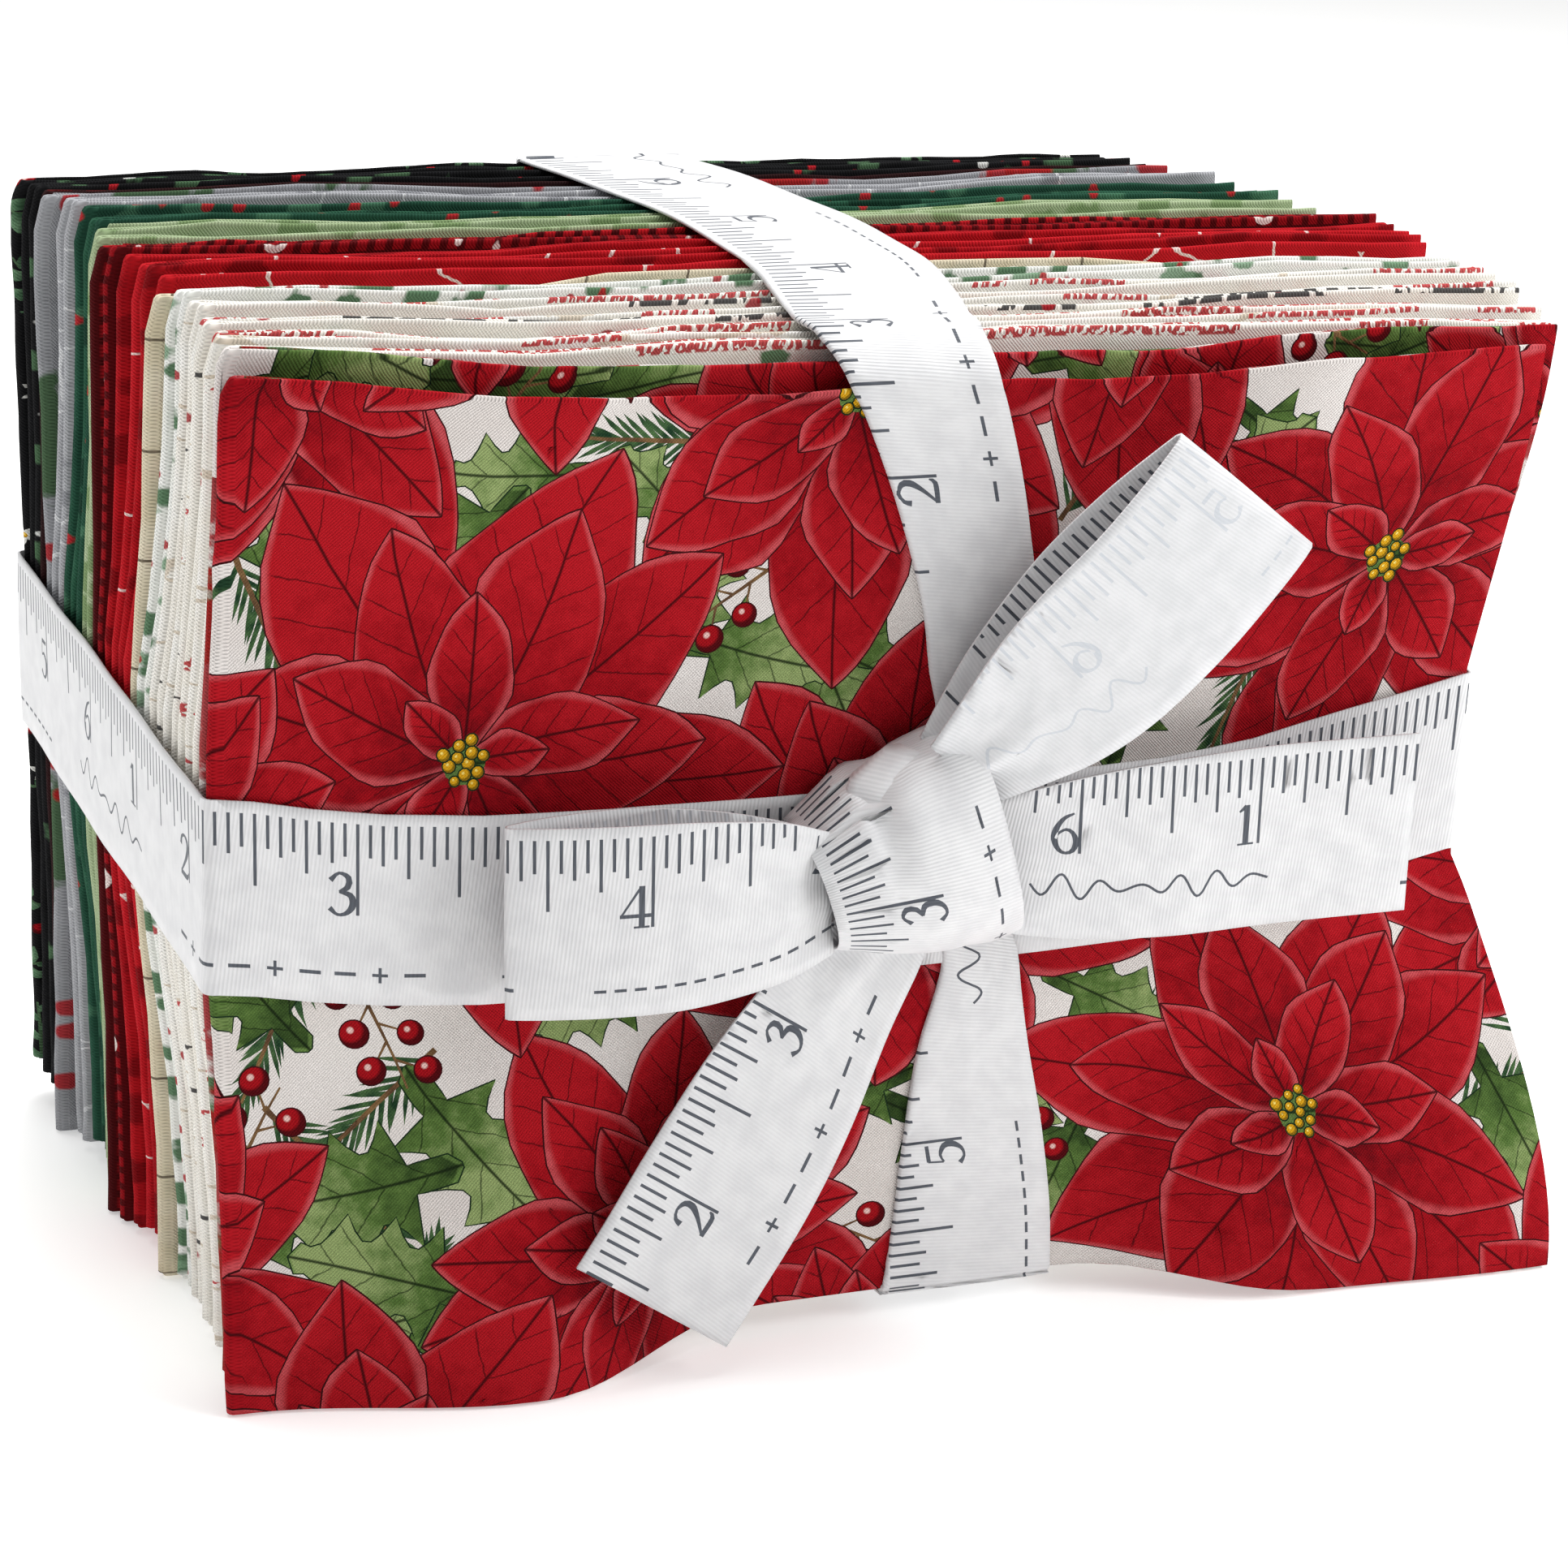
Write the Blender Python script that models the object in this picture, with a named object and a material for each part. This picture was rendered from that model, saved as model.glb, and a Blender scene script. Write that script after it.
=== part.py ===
"""Fat quarter bundle: thirty folded cuts of cotton stood on edge, tied both ways with a ribbon and a bow.

The width runs along X, the depth of the stack along Y with the front face at -Y, and the height along Z.
The sizes below are in millimetres, and the meshes are written in metres.
"""
from math import cos, pi, sin

import bmesh
import bpy
from mathutils import Vector

MM = 0.001

# One folded cut: three layers back and forth, the fold between the first two at the top.
CUT_PITCH = 3.6
CUT_GAP = 0.3
LAYER = 1.0
LAYER_GAP = 0.15
FOLD_CHAMFER = 0.6
FREE_EDGE_DROP = 1.5
FRONT_CUT_AHEAD = 0.3

# The cloth between these lines is pressed flush by the ribbon.
TIE_LEFT, TIE_RIGHT = -17.0, 24.0
TIE_LOW, TIE_HIGH = 48.0, 86.0
PUFF_LEFT, PUFF_RIGHT = -50.0, 55.0
FACE_LEFT, FACE_RIGHT = -88.0, 94.0
FACE_TOP = 134.0
ACROSS = (FACE_LEFT, PUFF_LEFT, TIE_LEFT, TIE_RIGHT, PUFF_RIGHT, FACE_RIGHT)
SQUEEZE = 0.06
PRESSED_BOTTOM = 3.8
BACK_PUFF = 0.4

# Between its corners and the tie, how far a cut's top sags, and what share of its lift is left.
SAG_LEFT, SAG_RIGHT = 4.2, 3.5
LIFT_INSIDE, LIFT_RIGHT = 0.6, 0.7

# The ribbon.
RIBBON_WIDTH = 24.5
RIBBON_THICKNESS = 1.0
TOUCH_GAP = 0.3
BAND_CLEARANCE = 0.6
BAND_CORNER = 0.4

# Each cut from the front to the back: where its left and right edges and its top reach, how far its
# bottom is lifted off the surface, and its main colour.
CUT_COLUMNS = ("left", "right", "top", "lift", "colour")
CUTS = (
    (-88.5, 84.0, 131.0, 0.0, "crimson"),
    (-88.0, 88.0, 133.5, 3.5, "crimson"),
    (-87.0, 89.5, 132.5, 4.0, "cream"),
    (-87.5, 90.0, 133.2, 3.5, "cream"),
    (-86.8, 91.5, 132.6, 3.0, "cream"),
    (-87.2, 91.0, 133.6, 3.0, "cream"),
    (-86.6, 92.5, 133.0, 2.0, "cream"),
    (-86.3, 91.5, 133.8, 2.0, "cream"),
    (-86.6, 92.0, 133.4, 1.5, "cream"),
    (-86.2, 90.5, 134.0, 1.0, "white"),
    (-86.8, 91.0, 133.6, 1.0, "white"),
    (-88.6, 90.0, 132.2, 0.0, "beige"),
    (-87.0, 91.5, 134.0, 1.5, "scarlet"),
    (-87.6, 92.5, 134.6, 2.5, "scarlet"),
    (-88.0, 93.0, 134.2, 2.0, "crimson"),
    (-89.2, 92.5, 134.0, 0.5, "crimson"),
    (-90.2, 91.5, 134.8, 0.0, "maroon"),
    (-91.2, 88.5, 134.2, 0.0, "scarlet"),
    (-90.6, 86.0, 134.6, 3.0, "sage"),
    (-90.0, 84.0, 135.2, 4.0, "sage"),
    (-89.4, 83.5, 135.8, 4.0, "forest"),
    (-89.2, 82.0, 135.2, 3.5, "forest"),
    (-89.8, 80.5, 135.8, 2.5, "forest"),
    (-90.6, 79.0, 136.2, 1.0, "grey"),
    (-90.8, 77.5, 135.8, 0.5, "grey"),
    (-93.2, 75.0, 136.0, 0.0, "grey"),
    (-92.4, 73.0, 135.6, 2.5, "maroon"),
    (-92.6, 72.0, 135.8, 4.0, "black"),
    (-93.0, 73.5, 135.4, 4.5, "black"),
    (-93.6, 72.0, 135.0, 5.0, "black"),
)
DEPTH = len(CUTS) * CUT_PITCH - CUT_GAP

# Colours in linear light.
COLOURS = {
    "crimson": (0.42, 0.012, 0.016),
    "scarlet": (0.38, 0.013, 0.013),
    "maroon": (0.12, 0.006, 0.007),
    "cream": (0.78, 0.73, 0.64),
    "white": (0.72, 0.73, 0.66),
    "beige": (0.60, 0.50, 0.36),
    "sage": (0.33, 0.42, 0.21),
    "forest": (0.03, 0.11, 0.05),
    "grey": (0.33, 0.33, 0.34),
    "black": (0.012, 0.013, 0.013),
    "ribbon": (0.82, 0.82, 0.83),
}


def along(value, stops, levels):
    """Reads a level on straight runs between stops, and past the ends on the last run."""
    last = len(stops) - 2
    for i in range(last + 1):
        if value <= stops[i + 1] or i == last:
            share = (value - stops[i]) / (stops[i + 1] - stops[i])
            return levels[i] + share * (levels[i + 1] - levels[i])


# ---- the pressed form of the stack ----

def pressed_left(t):
    return along(t, (0.0, 1.0), (-89.4, -93.6))


def pressed_right(t):
    return along(t, (0.0, 0.5, 1.0), (80.5, 85.0, 74.0))


def pressed_top(t):
    return along(t, (0.0, 0.035, 0.2, 1.0), (125.3, 127.3, 129.0, 130.5))


def tie_press(x, z):
    """How fully the ribbon presses the stack at a place on its face: 1 under it, 0 in the corners."""
    upright = along(x, ACROSS, (0, 0, 1, 1, 0, 0))
    level = along(z, (0.0, TIE_LOW, TIE_HIGH, FACE_TOP), (0, 1, 1, 0))
    return upright + level - upright * level


def puff(x, z):
    """How far the front face stands forward between the ribbons."""
    lower = along(x, ACROSS, (0.0, 7.0, 0.0, 0.0, 7.0, 8.5))
    upper = along(x, ACROSS, (0.5, 2.0, 0.0, 0.0, 2.0, 1.0))
    if z <= TIE_LOW:
        return lower * (1.0 - z / TIE_LOW)
    if z >= TIE_HIGH:
        return upper * (z - TIE_HIGH) / (FACE_TOP - TIE_HIGH)
    return 0.0


def depth_at(y, x, z):
    """Carries a depth in the straight stack to the tied one."""
    t = (y + DEPTH / 2) / DEPTH
    tied = y * (1.0 - SQUEEZE * tie_press(x, z))
    return tied + puff(x, z) * (BACK_PUFF * t ** 2 - (1.0 - t) ** 2)


# ---- one folded cut ----

def cut_edges(cut, t):
    """The outline of a cut: for each station across it, X at the four heights, its bottom and its top."""
    right_low = cut["right"] + along(t, (0.0, 0.04, 0.3, 1.0), (10.5, 6.5, 1.5, 3.0))
    right_top = cut["top"] + along(t, (0.0, 0.04, 0.2, 1.0), (-3.0, -4.0, -1.5, 0.0))
    left, right = pressed_left(t), pressed_right(t)
    top, lift = cut["top"], cut["lift"]
    flush = pressed_top(t)
    return (
        ((cut["left"], left, left, cut["left"]), lift, top),
        ((PUFF_LEFT,) * 4, lift * LIFT_INSIDE, top - SAG_LEFT),
        ((TIE_LEFT,) * 4, PRESSED_BOTTOM, flush),
        ((TIE_RIGHT,) * 4, PRESSED_BOTTOM, flush),
        ((PUFF_RIGHT,) * 4, lift * LIFT_INSIDE, top - SAG_RIGHT),
        ((right_low, right, right, cut["right"]), lift * LIFT_RIGHT, right_top),
    )


def fold_outline(y0, xs, bottom, top):
    """The back-and-forth section at one station, as closed points round its three layers."""
    f0, b0 = y0, y0 + LAYER
    f1, b1 = b0 + LAYER_GAP, b0 + LAYER_GAP + LAYER
    f2, b2 = b1 + LAYER_GAP, b1 + LAYER_GAP + LAYER
    c = FOLD_CHAMFER
    low, high = 1, 2
    section = (
        (f0, 0, 0.0), (f0, low, 0.0), (f0, high, 0.0), (f0, 3, -c), (f0 + c, 3, 0.0), (b1 - c, 3, 0.0),
        (b1, 3, -c), (b1, high, 0.0), (b1, low, 0.0), (b1, 0, LAYER), (f2, 0, LAYER), (f2, low, 0.0),
        (f2, high, 0.0), (f2, 3, -FREE_EDGE_DROP), (b2, 3, -FREE_EDGE_DROP), (b2, high, 0.0), (b2, low, 0.0),
        (b2, 0, c), (b2 - c, 0, 0.0), (f1 + c, 0, 0.0), (f1, 0, c), (f1, low, 0.0), (f1, high, 0.0),
        (f1, 3, -LAYER), (b0, 3, -LAYER), (b0, high, 0.0), (b0, low, 0.0), (b0, 0, 0.0),
    )
    levels = (bottom, TIE_LOW, TIE_HIGH, top)
    points = []
    for y, level, rise in section:
        x, z = xs[level], levels[level] + rise
        points.append((x, depth_at(y, x, z), z))
    return points


# The end of a cut, face by face: first its front layer, the top fold, the middle layer, the bottom
# fold and the back layer.
END_FACES = (
    (0, 1, 26, 27), (1, 2, 25, 26), (2, 3, 24, 25), (3, 4, 5, 6, 23, 24),
    (6, 7, 22, 23), (7, 8, 21, 22), (8, 9, 20, 21), (9, 10, 17, 18, 19, 20),
    (10, 11, 16, 17), (11, 12, 15, 16), (12, 13, 14, 15),
)


def build_cut(index, cut):
    t = index / (len(CUTS) - 1)
    y0 = -DEPTH / 2 + index * CUT_PITCH - (FRONT_CUT_AHEAD if index == 0 else 0.0)
    rings = [fold_outline(y0, xs, bottom, top) for xs, bottom, top in cut_edges(cut, t)]
    make_solid("fat_quarter_%02d" % (index + 1), rings, END_FACES, cut["colour"])


# ---- the ribbon ----

RIBBON_END = ((0, 1, 2, 3),)


def ribbon_ring(centre, across, outward):
    """Four corners of the ribbon where its inner face has this centre."""
    centre, half, out = Vector(centre), Vector(across) / 2, Vector(outward)
    return [tuple(p) for p in (centre - half, centre + half, centre + half + out, centre - half + out)]


def offset_path(points, distance, closed):
    """Moves a flat path sideways, to its right as it runs, with mitred corners."""
    moved = []
    count = len(points)
    for i, (a, b) in enumerate(points):
        before = points[i - 1] if closed or i > 0 else None
        after = points[(i + 1) % count] if closed or i < count - 1 else None
        normals = []
        for start, end in ((before, (a, b)), ((a, b), after)):
            if start is not None and end is not None:
                run = Vector((end[0] - start[0], end[1] - start[1])).normalized()
                normals.append(Vector((run.y, -run.x)))
        mean = sum(normals, Vector((0.0, 0.0))).normalized()
        reach = distance / max(0.5, mean.dot(normals[0]))
        moved.append((a + mean.x * reach, b + mean.y * reach))
    return moved


def front_layers():
    """Y of the inner face of the level band, of the upright band over it, and of the knot's back."""
    level = -(DEPTH / 2 + FRONT_CUT_AHEAD) * (1 - SQUEEZE) - TOUCH_GAP
    step = RIBBON_THICKNESS + TOUCH_GAP
    return level, level - step, level - 2 * step


def level_band():
    """The band round the four sides, a little higher at the right and the back."""
    gap = BAND_CLEARANCE
    front = front_layers()[0]
    back = DEPTH / 2 * (1 - SQUEEZE) + TOUCH_GAP
    left_front, left_back = pressed_left(0) - gap, pressed_left(1) - gap
    right_front, right_middle, right_back = (pressed_right(t) + gap for t in (0.0, 0.5, 1.0))
    turn = BAND_CORNER
    # x, y and the height of the band's middle, anticlockwise seen from above
    route = (
        (left_front, front + turn, 67.5), (left_front + turn, front, 67.5), (-40.0, front, 67.8),
        (0.0, front, 68.6), (40.0, front, 69.8), (right_front - turn, front, 71.0),
        (right_front, front + turn, 71.0),
        (right_middle, 0.0, 71.2), (right_back, back - turn, 71.0), (right_back - turn, back, 71.0),
        (0.0, back, 71.0), (left_back + turn, back, 70.8), (left_back, back - turn, 70.8),
    )
    inner = [(x, y) for x, y, _ in route]
    outer = offset_path(inner, RIBBON_THICKNESS, True)
    rings = []
    for (x, y, middle), (ox, oy) in zip(route, outer):
        rings.append(ribbon_ring((x, y, middle), (0, 0, -RIBBON_WIDTH), (ox - x, oy - y, 0)))
    make_solid("ribbon_band_level", rings, (), "ribbon")


def upright_band():
    """The band over the top and under the bottom, drawn narrow at the knot and laid over the level band."""
    front, front_over, _ = front_layers()
    back = DEPTH / 2 * (1 - SQUEEZE) + TOUCH_GAP
    back_over = back + RIBBON_THICKNESS + TOUCH_GAP
    turn = BAND_CORNER
    crossing_low, crossing_high = 54.0, 86.5
    gap = BAND_CLEARANCE
    floor_side = PRESSED_BOTTOM - TOUCH_GAP
    # y, z, the middle in X and the width, from the top of the front round by the floor and the back
    route = (
        (front, pressed_top(0) - 0.4, -1.5, 20.0), (front, 106.0, 3.0, 17.0),
        (front, crossing_high + 3, 7.0, 14.0), (front_over, crossing_high, 7.0, 12.0),
        (front_over, 70.0, 6.5, 10.0), (front_over, crossing_low, 11.0, 10.0),
        (front, crossing_low - 3, 12.5, 12.0), (front, 27.0, 12.3, 20.0),
        (front, floor_side + turn, 11.6, 24.0), (front + turn, floor_side, 11.4, RIBBON_WIDTH),
        (0.0, floor_side, 7.5, RIBBON_WIDTH),
        (back - turn, floor_side, 4.2, RIBBON_WIDTH), (back, floor_side + turn, 4.0, RIBBON_WIDTH),
        (back, crossing_low, 0.5, RIBBON_WIDTH), (back_over, crossing_low + 3, 0.3, RIBBON_WIDTH),
        (back_over, crossing_high, -1.7, RIBBON_WIDTH), (back, crossing_high + 3, -1.9, RIBBON_WIDTH),
        (back, pressed_top(1) - 0.2, -4.3, RIBBON_WIDTH),
        (back - turn, pressed_top(1) + gap, -4.4, RIBBON_WIDTH),
        (0.0, pressed_top(0.5) + gap, -3.2, RIBBON_WIDTH), (-33.0, pressed_top(0.2) + gap, -2.4, 23.5),
        (-47.8, pressed_top(0.035) + gap, -1.8, 21.5),
    )
    inner = [(y, z) for y, z, _, _ in route]
    outer = offset_path(inner, RIBBON_THICKNESS, True)
    rings = []
    for (y, z, middle, width), (oy, oz) in zip(route, outer):
        rings.append(ribbon_ring((middle, y, z), (width, 0, 0), (0, oy - y, oz - z)))
    make_solid("ribbon_band_upright", rings, (), "ribbon")


# The knot from the bottom up: height, middle and half width in X, and depth from its flat back.
KNOT_COLUMNS = ("z", "middle", "half", "depth")
KNOT = (
    (55.3, 2.6, 8.5, 6.0),
    (58.5, 2.4, 11.0, 9.5),
    (65.0, -0.5, 12.5, 12.0),
    (71.0, -3.2, 13.0, 13.0),
    (77.0, -5.5, 12.5, 12.0),
    (82.5, -4.5, 9.5, 10.0),
    (86.5, -2.8, 5.0, 6.0),
)
KNOT_SIDES = 14


def knot():
    """The knot: a rounded block with a flat back, leaning from upper left to lower right."""
    back = front_layers()[2]
    rings = []
    for row in KNOT:
        size = dict(zip(KNOT_COLUMNS, row))
        ring = []
        for k in range(KNOT_SIDES):
            angle = 2 * pi * k / KNOT_SIDES
            squarer = (abs(cos(angle)) ** 3 + abs(sin(angle)) ** 3) ** (-1 / 3)
            x = size["middle"] + size["half"] * cos(angle) * squarer
            y = back - size["depth"] / 2 * (1 + sin(angle) * squarer)
            ring.append((x, y, size["z"]))
        rings.append(ring)
    make_solid("ribbon_knot", rings, (tuple(range(KNOT_SIDES)),), "ribbon").data.shade_smooth()


def face_frame(direction):
    """Along and across unit vectors in the plane of the face, for an angle in degrees above +X."""
    angle = direction * pi / 180
    return Vector((cos(angle), 0, sin(angle))), Vector((-sin(angle), 0, cos(angle)))


def loop(name, root, direction, profile, widths):
    """A loop of the bow. The profile runs out along the front layer, round the fold and back behind,
    in steps along the loop and out from the face."""
    ahead, across = face_frame(direction)
    inner = offset_path(profile, RIBBON_THICKNESS, False)
    rings = []
    for (s, n), (si, ni), width in zip(profile, inner, widths):
        outer_point = Vector(root) + ahead * s + Vector((0, -n, 0))
        inner_point = Vector(root) + ahead * si + Vector((0, -ni, 0))
        rings.append(ribbon_ring(inner_point, across * width, outer_point - inner_point))
    make_solid(name, rings, RIBBON_END, "ribbon")


def tail(name, route, widths):
    """A free end of the ribbon, from the knot to its straight cut."""
    rings = []
    for i, point in enumerate(route):
        before, after = route[max(i - 1, 0)], route[min(i + 1, len(route) - 1)]
        ahead = (Vector(after) - Vector(before)).normalized()
        across = Vector((-ahead.z, 0, ahead.x)).normalized()
        out = ahead.cross(across)
        if out.y > 0:
            out = -out
        rings.append(ribbon_ring(point, across * widths[i], out * RIBBON_THICKNESS))
    make_solid(name, rings, RIBBON_END, "ribbon")


def bow():
    """The knot, the two loops and the two free ends."""
    knot()
    # along the loop and out from its root: the front layer out to the fold, and the back layer home
    left_profile = (
        (0.0, 7.6), (9.0, 9.4), (18.0, 10.0), (27.0, 9.4), (32.5, 8.0), (36.0, 6.4), (36.8, 4.8),
        (35.5, 3.4), (31.0, 2.6), (21.0, 2.2), (11.0, 2.4), (0.0, 3.2),
    )
    left_widths = (18.0, 21.0, 23.5, 24.5, 24.5, 24.5, 24.5, 24.5, 24.5, 23.0, 20.0, 17.0)
    loop("ribbon_loop_left", (-17.0, -53.5, 66.0), 184.0, left_profile, left_widths)
    right_profile = (
        (0.0, 7.2), (10.0, 9.4), (20.0, 11.2), (30.0, 12.0), (38.5, 11.2), (43.6, 9.8), (45.0, 8.0),
        (43.2, 6.4), (36.0, 4.8), (23.0, 3.2), (11.0, 2.4), (0.0, 2.6),
    )
    right_widths = (16.0, 20.0, 23.5, 24.5, 24.5, 24.5, 24.5, 24.5, 24.5, 23.5, 20.0, 15.0)
    loop("ribbon_loop_right", (5.6, -54.2, 83.1), 45.0, right_profile, right_widths)
    left_route = (
        (-6.1, -54.2, 55.0), (-12.0, -54.8, 47.0), (-18.5, -56.3, 37.0), (-25.5, -58.0, 26.0),
        (-31.5, -59.4, 17.2), (-35.5, -60.0, 11.4),
    )
    tail("ribbon_tail_left", left_route, (13.0, 17.5, 22.0, RIBBON_WIDTH, RIBBON_WIDTH, RIBBON_WIDTH))
    right_route = (
        (13.9, -57.5, 65.2), (22.0, -58.6, 65.4), (34.0, -58.9, 65.8), (46.0, -58.6, 66.2),
        (57.0, -58.4, 66.6), (67.0, -58.8, 67.0),
    )
    tail("ribbon_tail_right", right_route, (16.0, 20.0, 23.5, RIBBON_WIDTH, RIBBON_WIDTH, RIBBON_WIDTH))


# ---- meshes ----

def material(colour):
    name = "cloth_" + colour if colour != "ribbon" else "ribbon_twill"
    made = bpy.data.materials.get(name)
    if made is None:
        made = bpy.data.materials.new(name)
        made.use_nodes = True
        shader = made.node_tree.nodes["Principled BSDF"]
        shader.inputs["Base Color"].default_value = (*COLOURS[colour], 1.0)
        shader.inputs["Roughness"].default_value = 0.6 if colour == "ribbon" else 0.85
        shader.inputs["Metallic"].default_value = 0.0
    return made


def make_solid(name, rings, end_faces, colour):
    """Joins rings of points into one closed body. Without end faces the last ring meets the first."""
    mesh = bmesh.new()
    verts = [[mesh.verts.new(Vector(point) * MM) for point in ring] for ring in rings]
    sides = len(rings[0])
    runs = len(rings) - 1 if end_faces else len(rings)
    for i in range(runs):
        here, there = verts[i], verts[(i + 1) % len(rings)]
        for k in range(sides):
            after = (k + 1) % sides
            # the diagonal always rises with the rings, so faces that lie side by side match
            if here[k].co.z < here[after].co.z:
                mesh.faces.new((here[k], here[after], there[after]))
                mesh.faces.new((here[k], there[after], there[k]))
            else:
                mesh.faces.new((here[k], here[after], there[k]))
                mesh.faces.new((here[after], there[after], there[k]))
    for face in end_faces:
        mesh.faces.new([verts[0][k] for k in reversed(face)])
        mesh.faces.new([verts[-1][k] for k in face])
    bmesh.ops.triangulate(mesh, faces=mesh.faces[:])
    bmesh.ops.recalc_face_normals(mesh, faces=mesh.faces[:])
    data = bpy.data.meshes.new(name)
    mesh.to_mesh(data)
    mesh.free()
    data.materials.append(material(colour))
    made = bpy.data.objects.new(name, data)
    bpy.context.collection.objects.link(made)
    return made


def centre_on_floor():
    """Sets the middle of the whole bundle's footprint over the origin, its lowest faces at Z = 0."""
    corners = [v.co for made in bpy.data.objects for v in made.data.vertices]
    low = [min(c[i] for c in corners) for i in range(3)]
    high = [max(c[i] for c in corners) for i in range(3)]
    shift = Vector((-(low[0] + high[0]) / 2, -(low[1] + high[1]) / 2, -low[2]))
    for made in bpy.data.objects:
        for v in made.data.vertices:
            v.co += shift


def main():
    for old in list(bpy.data.objects):
        bpy.data.objects.remove(old)
    for index, row in enumerate(CUTS):
        build_cut(index, dict(zip(CUT_COLUMNS, row)))
    level_band()
    upright_band()
    bow()
    centre_on_floor()


main()
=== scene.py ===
import bpy
import math
import random
import numpy as np
from mathutils import Matrix, Vector
from mathutils.geometry import delaunay_2d_cdt


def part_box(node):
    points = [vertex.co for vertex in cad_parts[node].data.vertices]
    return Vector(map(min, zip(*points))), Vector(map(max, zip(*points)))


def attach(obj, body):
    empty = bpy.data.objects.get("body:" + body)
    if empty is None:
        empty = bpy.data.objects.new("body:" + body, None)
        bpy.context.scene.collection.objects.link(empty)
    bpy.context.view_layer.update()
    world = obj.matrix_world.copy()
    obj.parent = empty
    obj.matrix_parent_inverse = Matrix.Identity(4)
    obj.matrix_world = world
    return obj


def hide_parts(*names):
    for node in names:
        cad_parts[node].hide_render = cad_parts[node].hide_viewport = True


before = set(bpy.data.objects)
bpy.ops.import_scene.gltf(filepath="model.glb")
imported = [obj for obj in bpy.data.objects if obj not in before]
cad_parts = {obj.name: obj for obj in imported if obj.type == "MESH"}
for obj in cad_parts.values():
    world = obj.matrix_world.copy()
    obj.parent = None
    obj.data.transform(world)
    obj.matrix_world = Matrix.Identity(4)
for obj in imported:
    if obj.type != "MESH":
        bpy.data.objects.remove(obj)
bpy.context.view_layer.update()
mm = 0.001
bpy.context.scene.view_settings.view_transform = "Standard"

# The bundle is worked out in millimetres: x to the right, y to the back, z up, with the knot near x = 0.
# The frame says where that lies in the world.
knotBackY = -53.8
levelBandLeftX = -95.2
shift = Vector((
    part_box("ribbon_band_level")[0][0] / mm - levelBandLeftX,
    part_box("ribbon_knot")[1][1] / mm - knotBackY,
    0.0,
))
print("frame loaded, bundle set at", [round(v, 2) for v in shift])


def linearColour(hexText):
    channels = [int(hexText[i:i + 2], 16) / 255 for i in (1, 3, 5)]
    return (*(c / 12.92 if c <= 0.04045 else ((c + 0.055) / 1.055) ** 2.4 for c in channels), 1.0)


def addNode(tree, kind, *inputs, give=0, stops=(), **settings):
    # adds a node with its settings, its inputs in order or in one dictionary, and a ramp's colours;
    # returns one of its outputs
    node = tree.nodes.new("ShaderNode" + kind)
    for name, value in settings.items():
        setattr(node, name, value)
    named = inputs[0] if inputs and isinstance(inputs[0], dict) else dict(enumerate(inputs))
    for socket, value in named.items():
        if isinstance(value, bpy.types.NodeSocket):
            tree.links.new(value, node.inputs[socket])
        else:
            node.inputs[socket].default_value = value
    for k, (position, colour) in enumerate(stops):
        stop = node.color_ramp.elements[k] if k < 2 else node.color_ramp.elements.new(position)
        stop.position = position
        stop.color = linearColour(colour)
    return node.outputs[give]


def ease(x, stops, levels):
    # soft steps between the stops, level at each of them
    x, stops, levels = (np.asarray(values, dtype=float) for values in (x, stops, levels))
    i = np.clip(np.searchsorted(stops, x) - 1, 0, len(stops) - 2)
    share = np.clip((x - stops[i]) / (stops[i + 1] - stops[i]), 0, 1)
    return levels[i] + share * share * (3 - 2 * share) * (levels[i + 1] - levels[i])


def ripple(x, seed, wave, size):
    # an uneven line: three waves of unlike length
    dice = random.Random(seed)
    total = 0.0
    for k in (1.0, 1.7, 3.1):
        total = total + np.sin(np.asarray(x) * k * 2 * math.pi / wave + dice.uniform(0, 6.28)) / k
    return total * size * 0.6


def unit(vectors):
    vectors = np.asarray(vectors, dtype=float)
    return vectors / np.linalg.norm(vectors, axis=-1, keepdims=True)


def toWorld(points):
    return (np.asarray(points) + np.array(shift)) * mm


def meshObject(name, points, faces, uvs=None, thickness=0.0):
    mesh = bpy.data.meshes.new(name)
    mesh.from_pydata(np.asarray(points).tolist(), [], faces)
    if uvs is not None:
        loops = np.empty(len(mesh.loops), dtype=np.int32)
        mesh.loops.foreach_get("vertex_index", loops)
        layer = mesh.uv_layers.new(name="clothUv")
        layer.data.foreach_set("uv", np.asarray(uvs, dtype=np.float32)[loops].ravel())
    mesh.shade_smooth()
    piece = bpy.data.objects.new(name, mesh)
    bpy.context.collection.objects.link(piece)
    if thickness:
        thick = piece.modifiers.new("thickness", "SOLIDIFY")
        thick.thickness = thickness * mm
        thick.offset = 0.0
    return piece


stack = {
    "pitch": 3.6,            # from one cut to the next
    "pieceDepth": 3.3,
    "squeeze": 0.06,         # how much the ribbon presses the depth
    "backPuff": 0.4,
    "frontAhead": 0.3,
    "leftTie": (55.0, 83.5), "rightTie": (58.5, 83.5),      # heights that the ribbon holds at the sides
    # left edge, puff, ribbon from and to, puff, right edge; and bottom, ribbon from and to, top
    "across": (-88.0, -50.0, -20.0, 24.0, 55.0, 94.0),
    "upward": (0.0, 48.0, 86.0, 134.0),
    "pressedBottom": 3.8,
    "faceRight": 84.0,
    "spring": 2.2,           # how quickly an edge springs out beside the ribbon
    "wave": 0.35,            # depth of the cloth's slow waves
}
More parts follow.
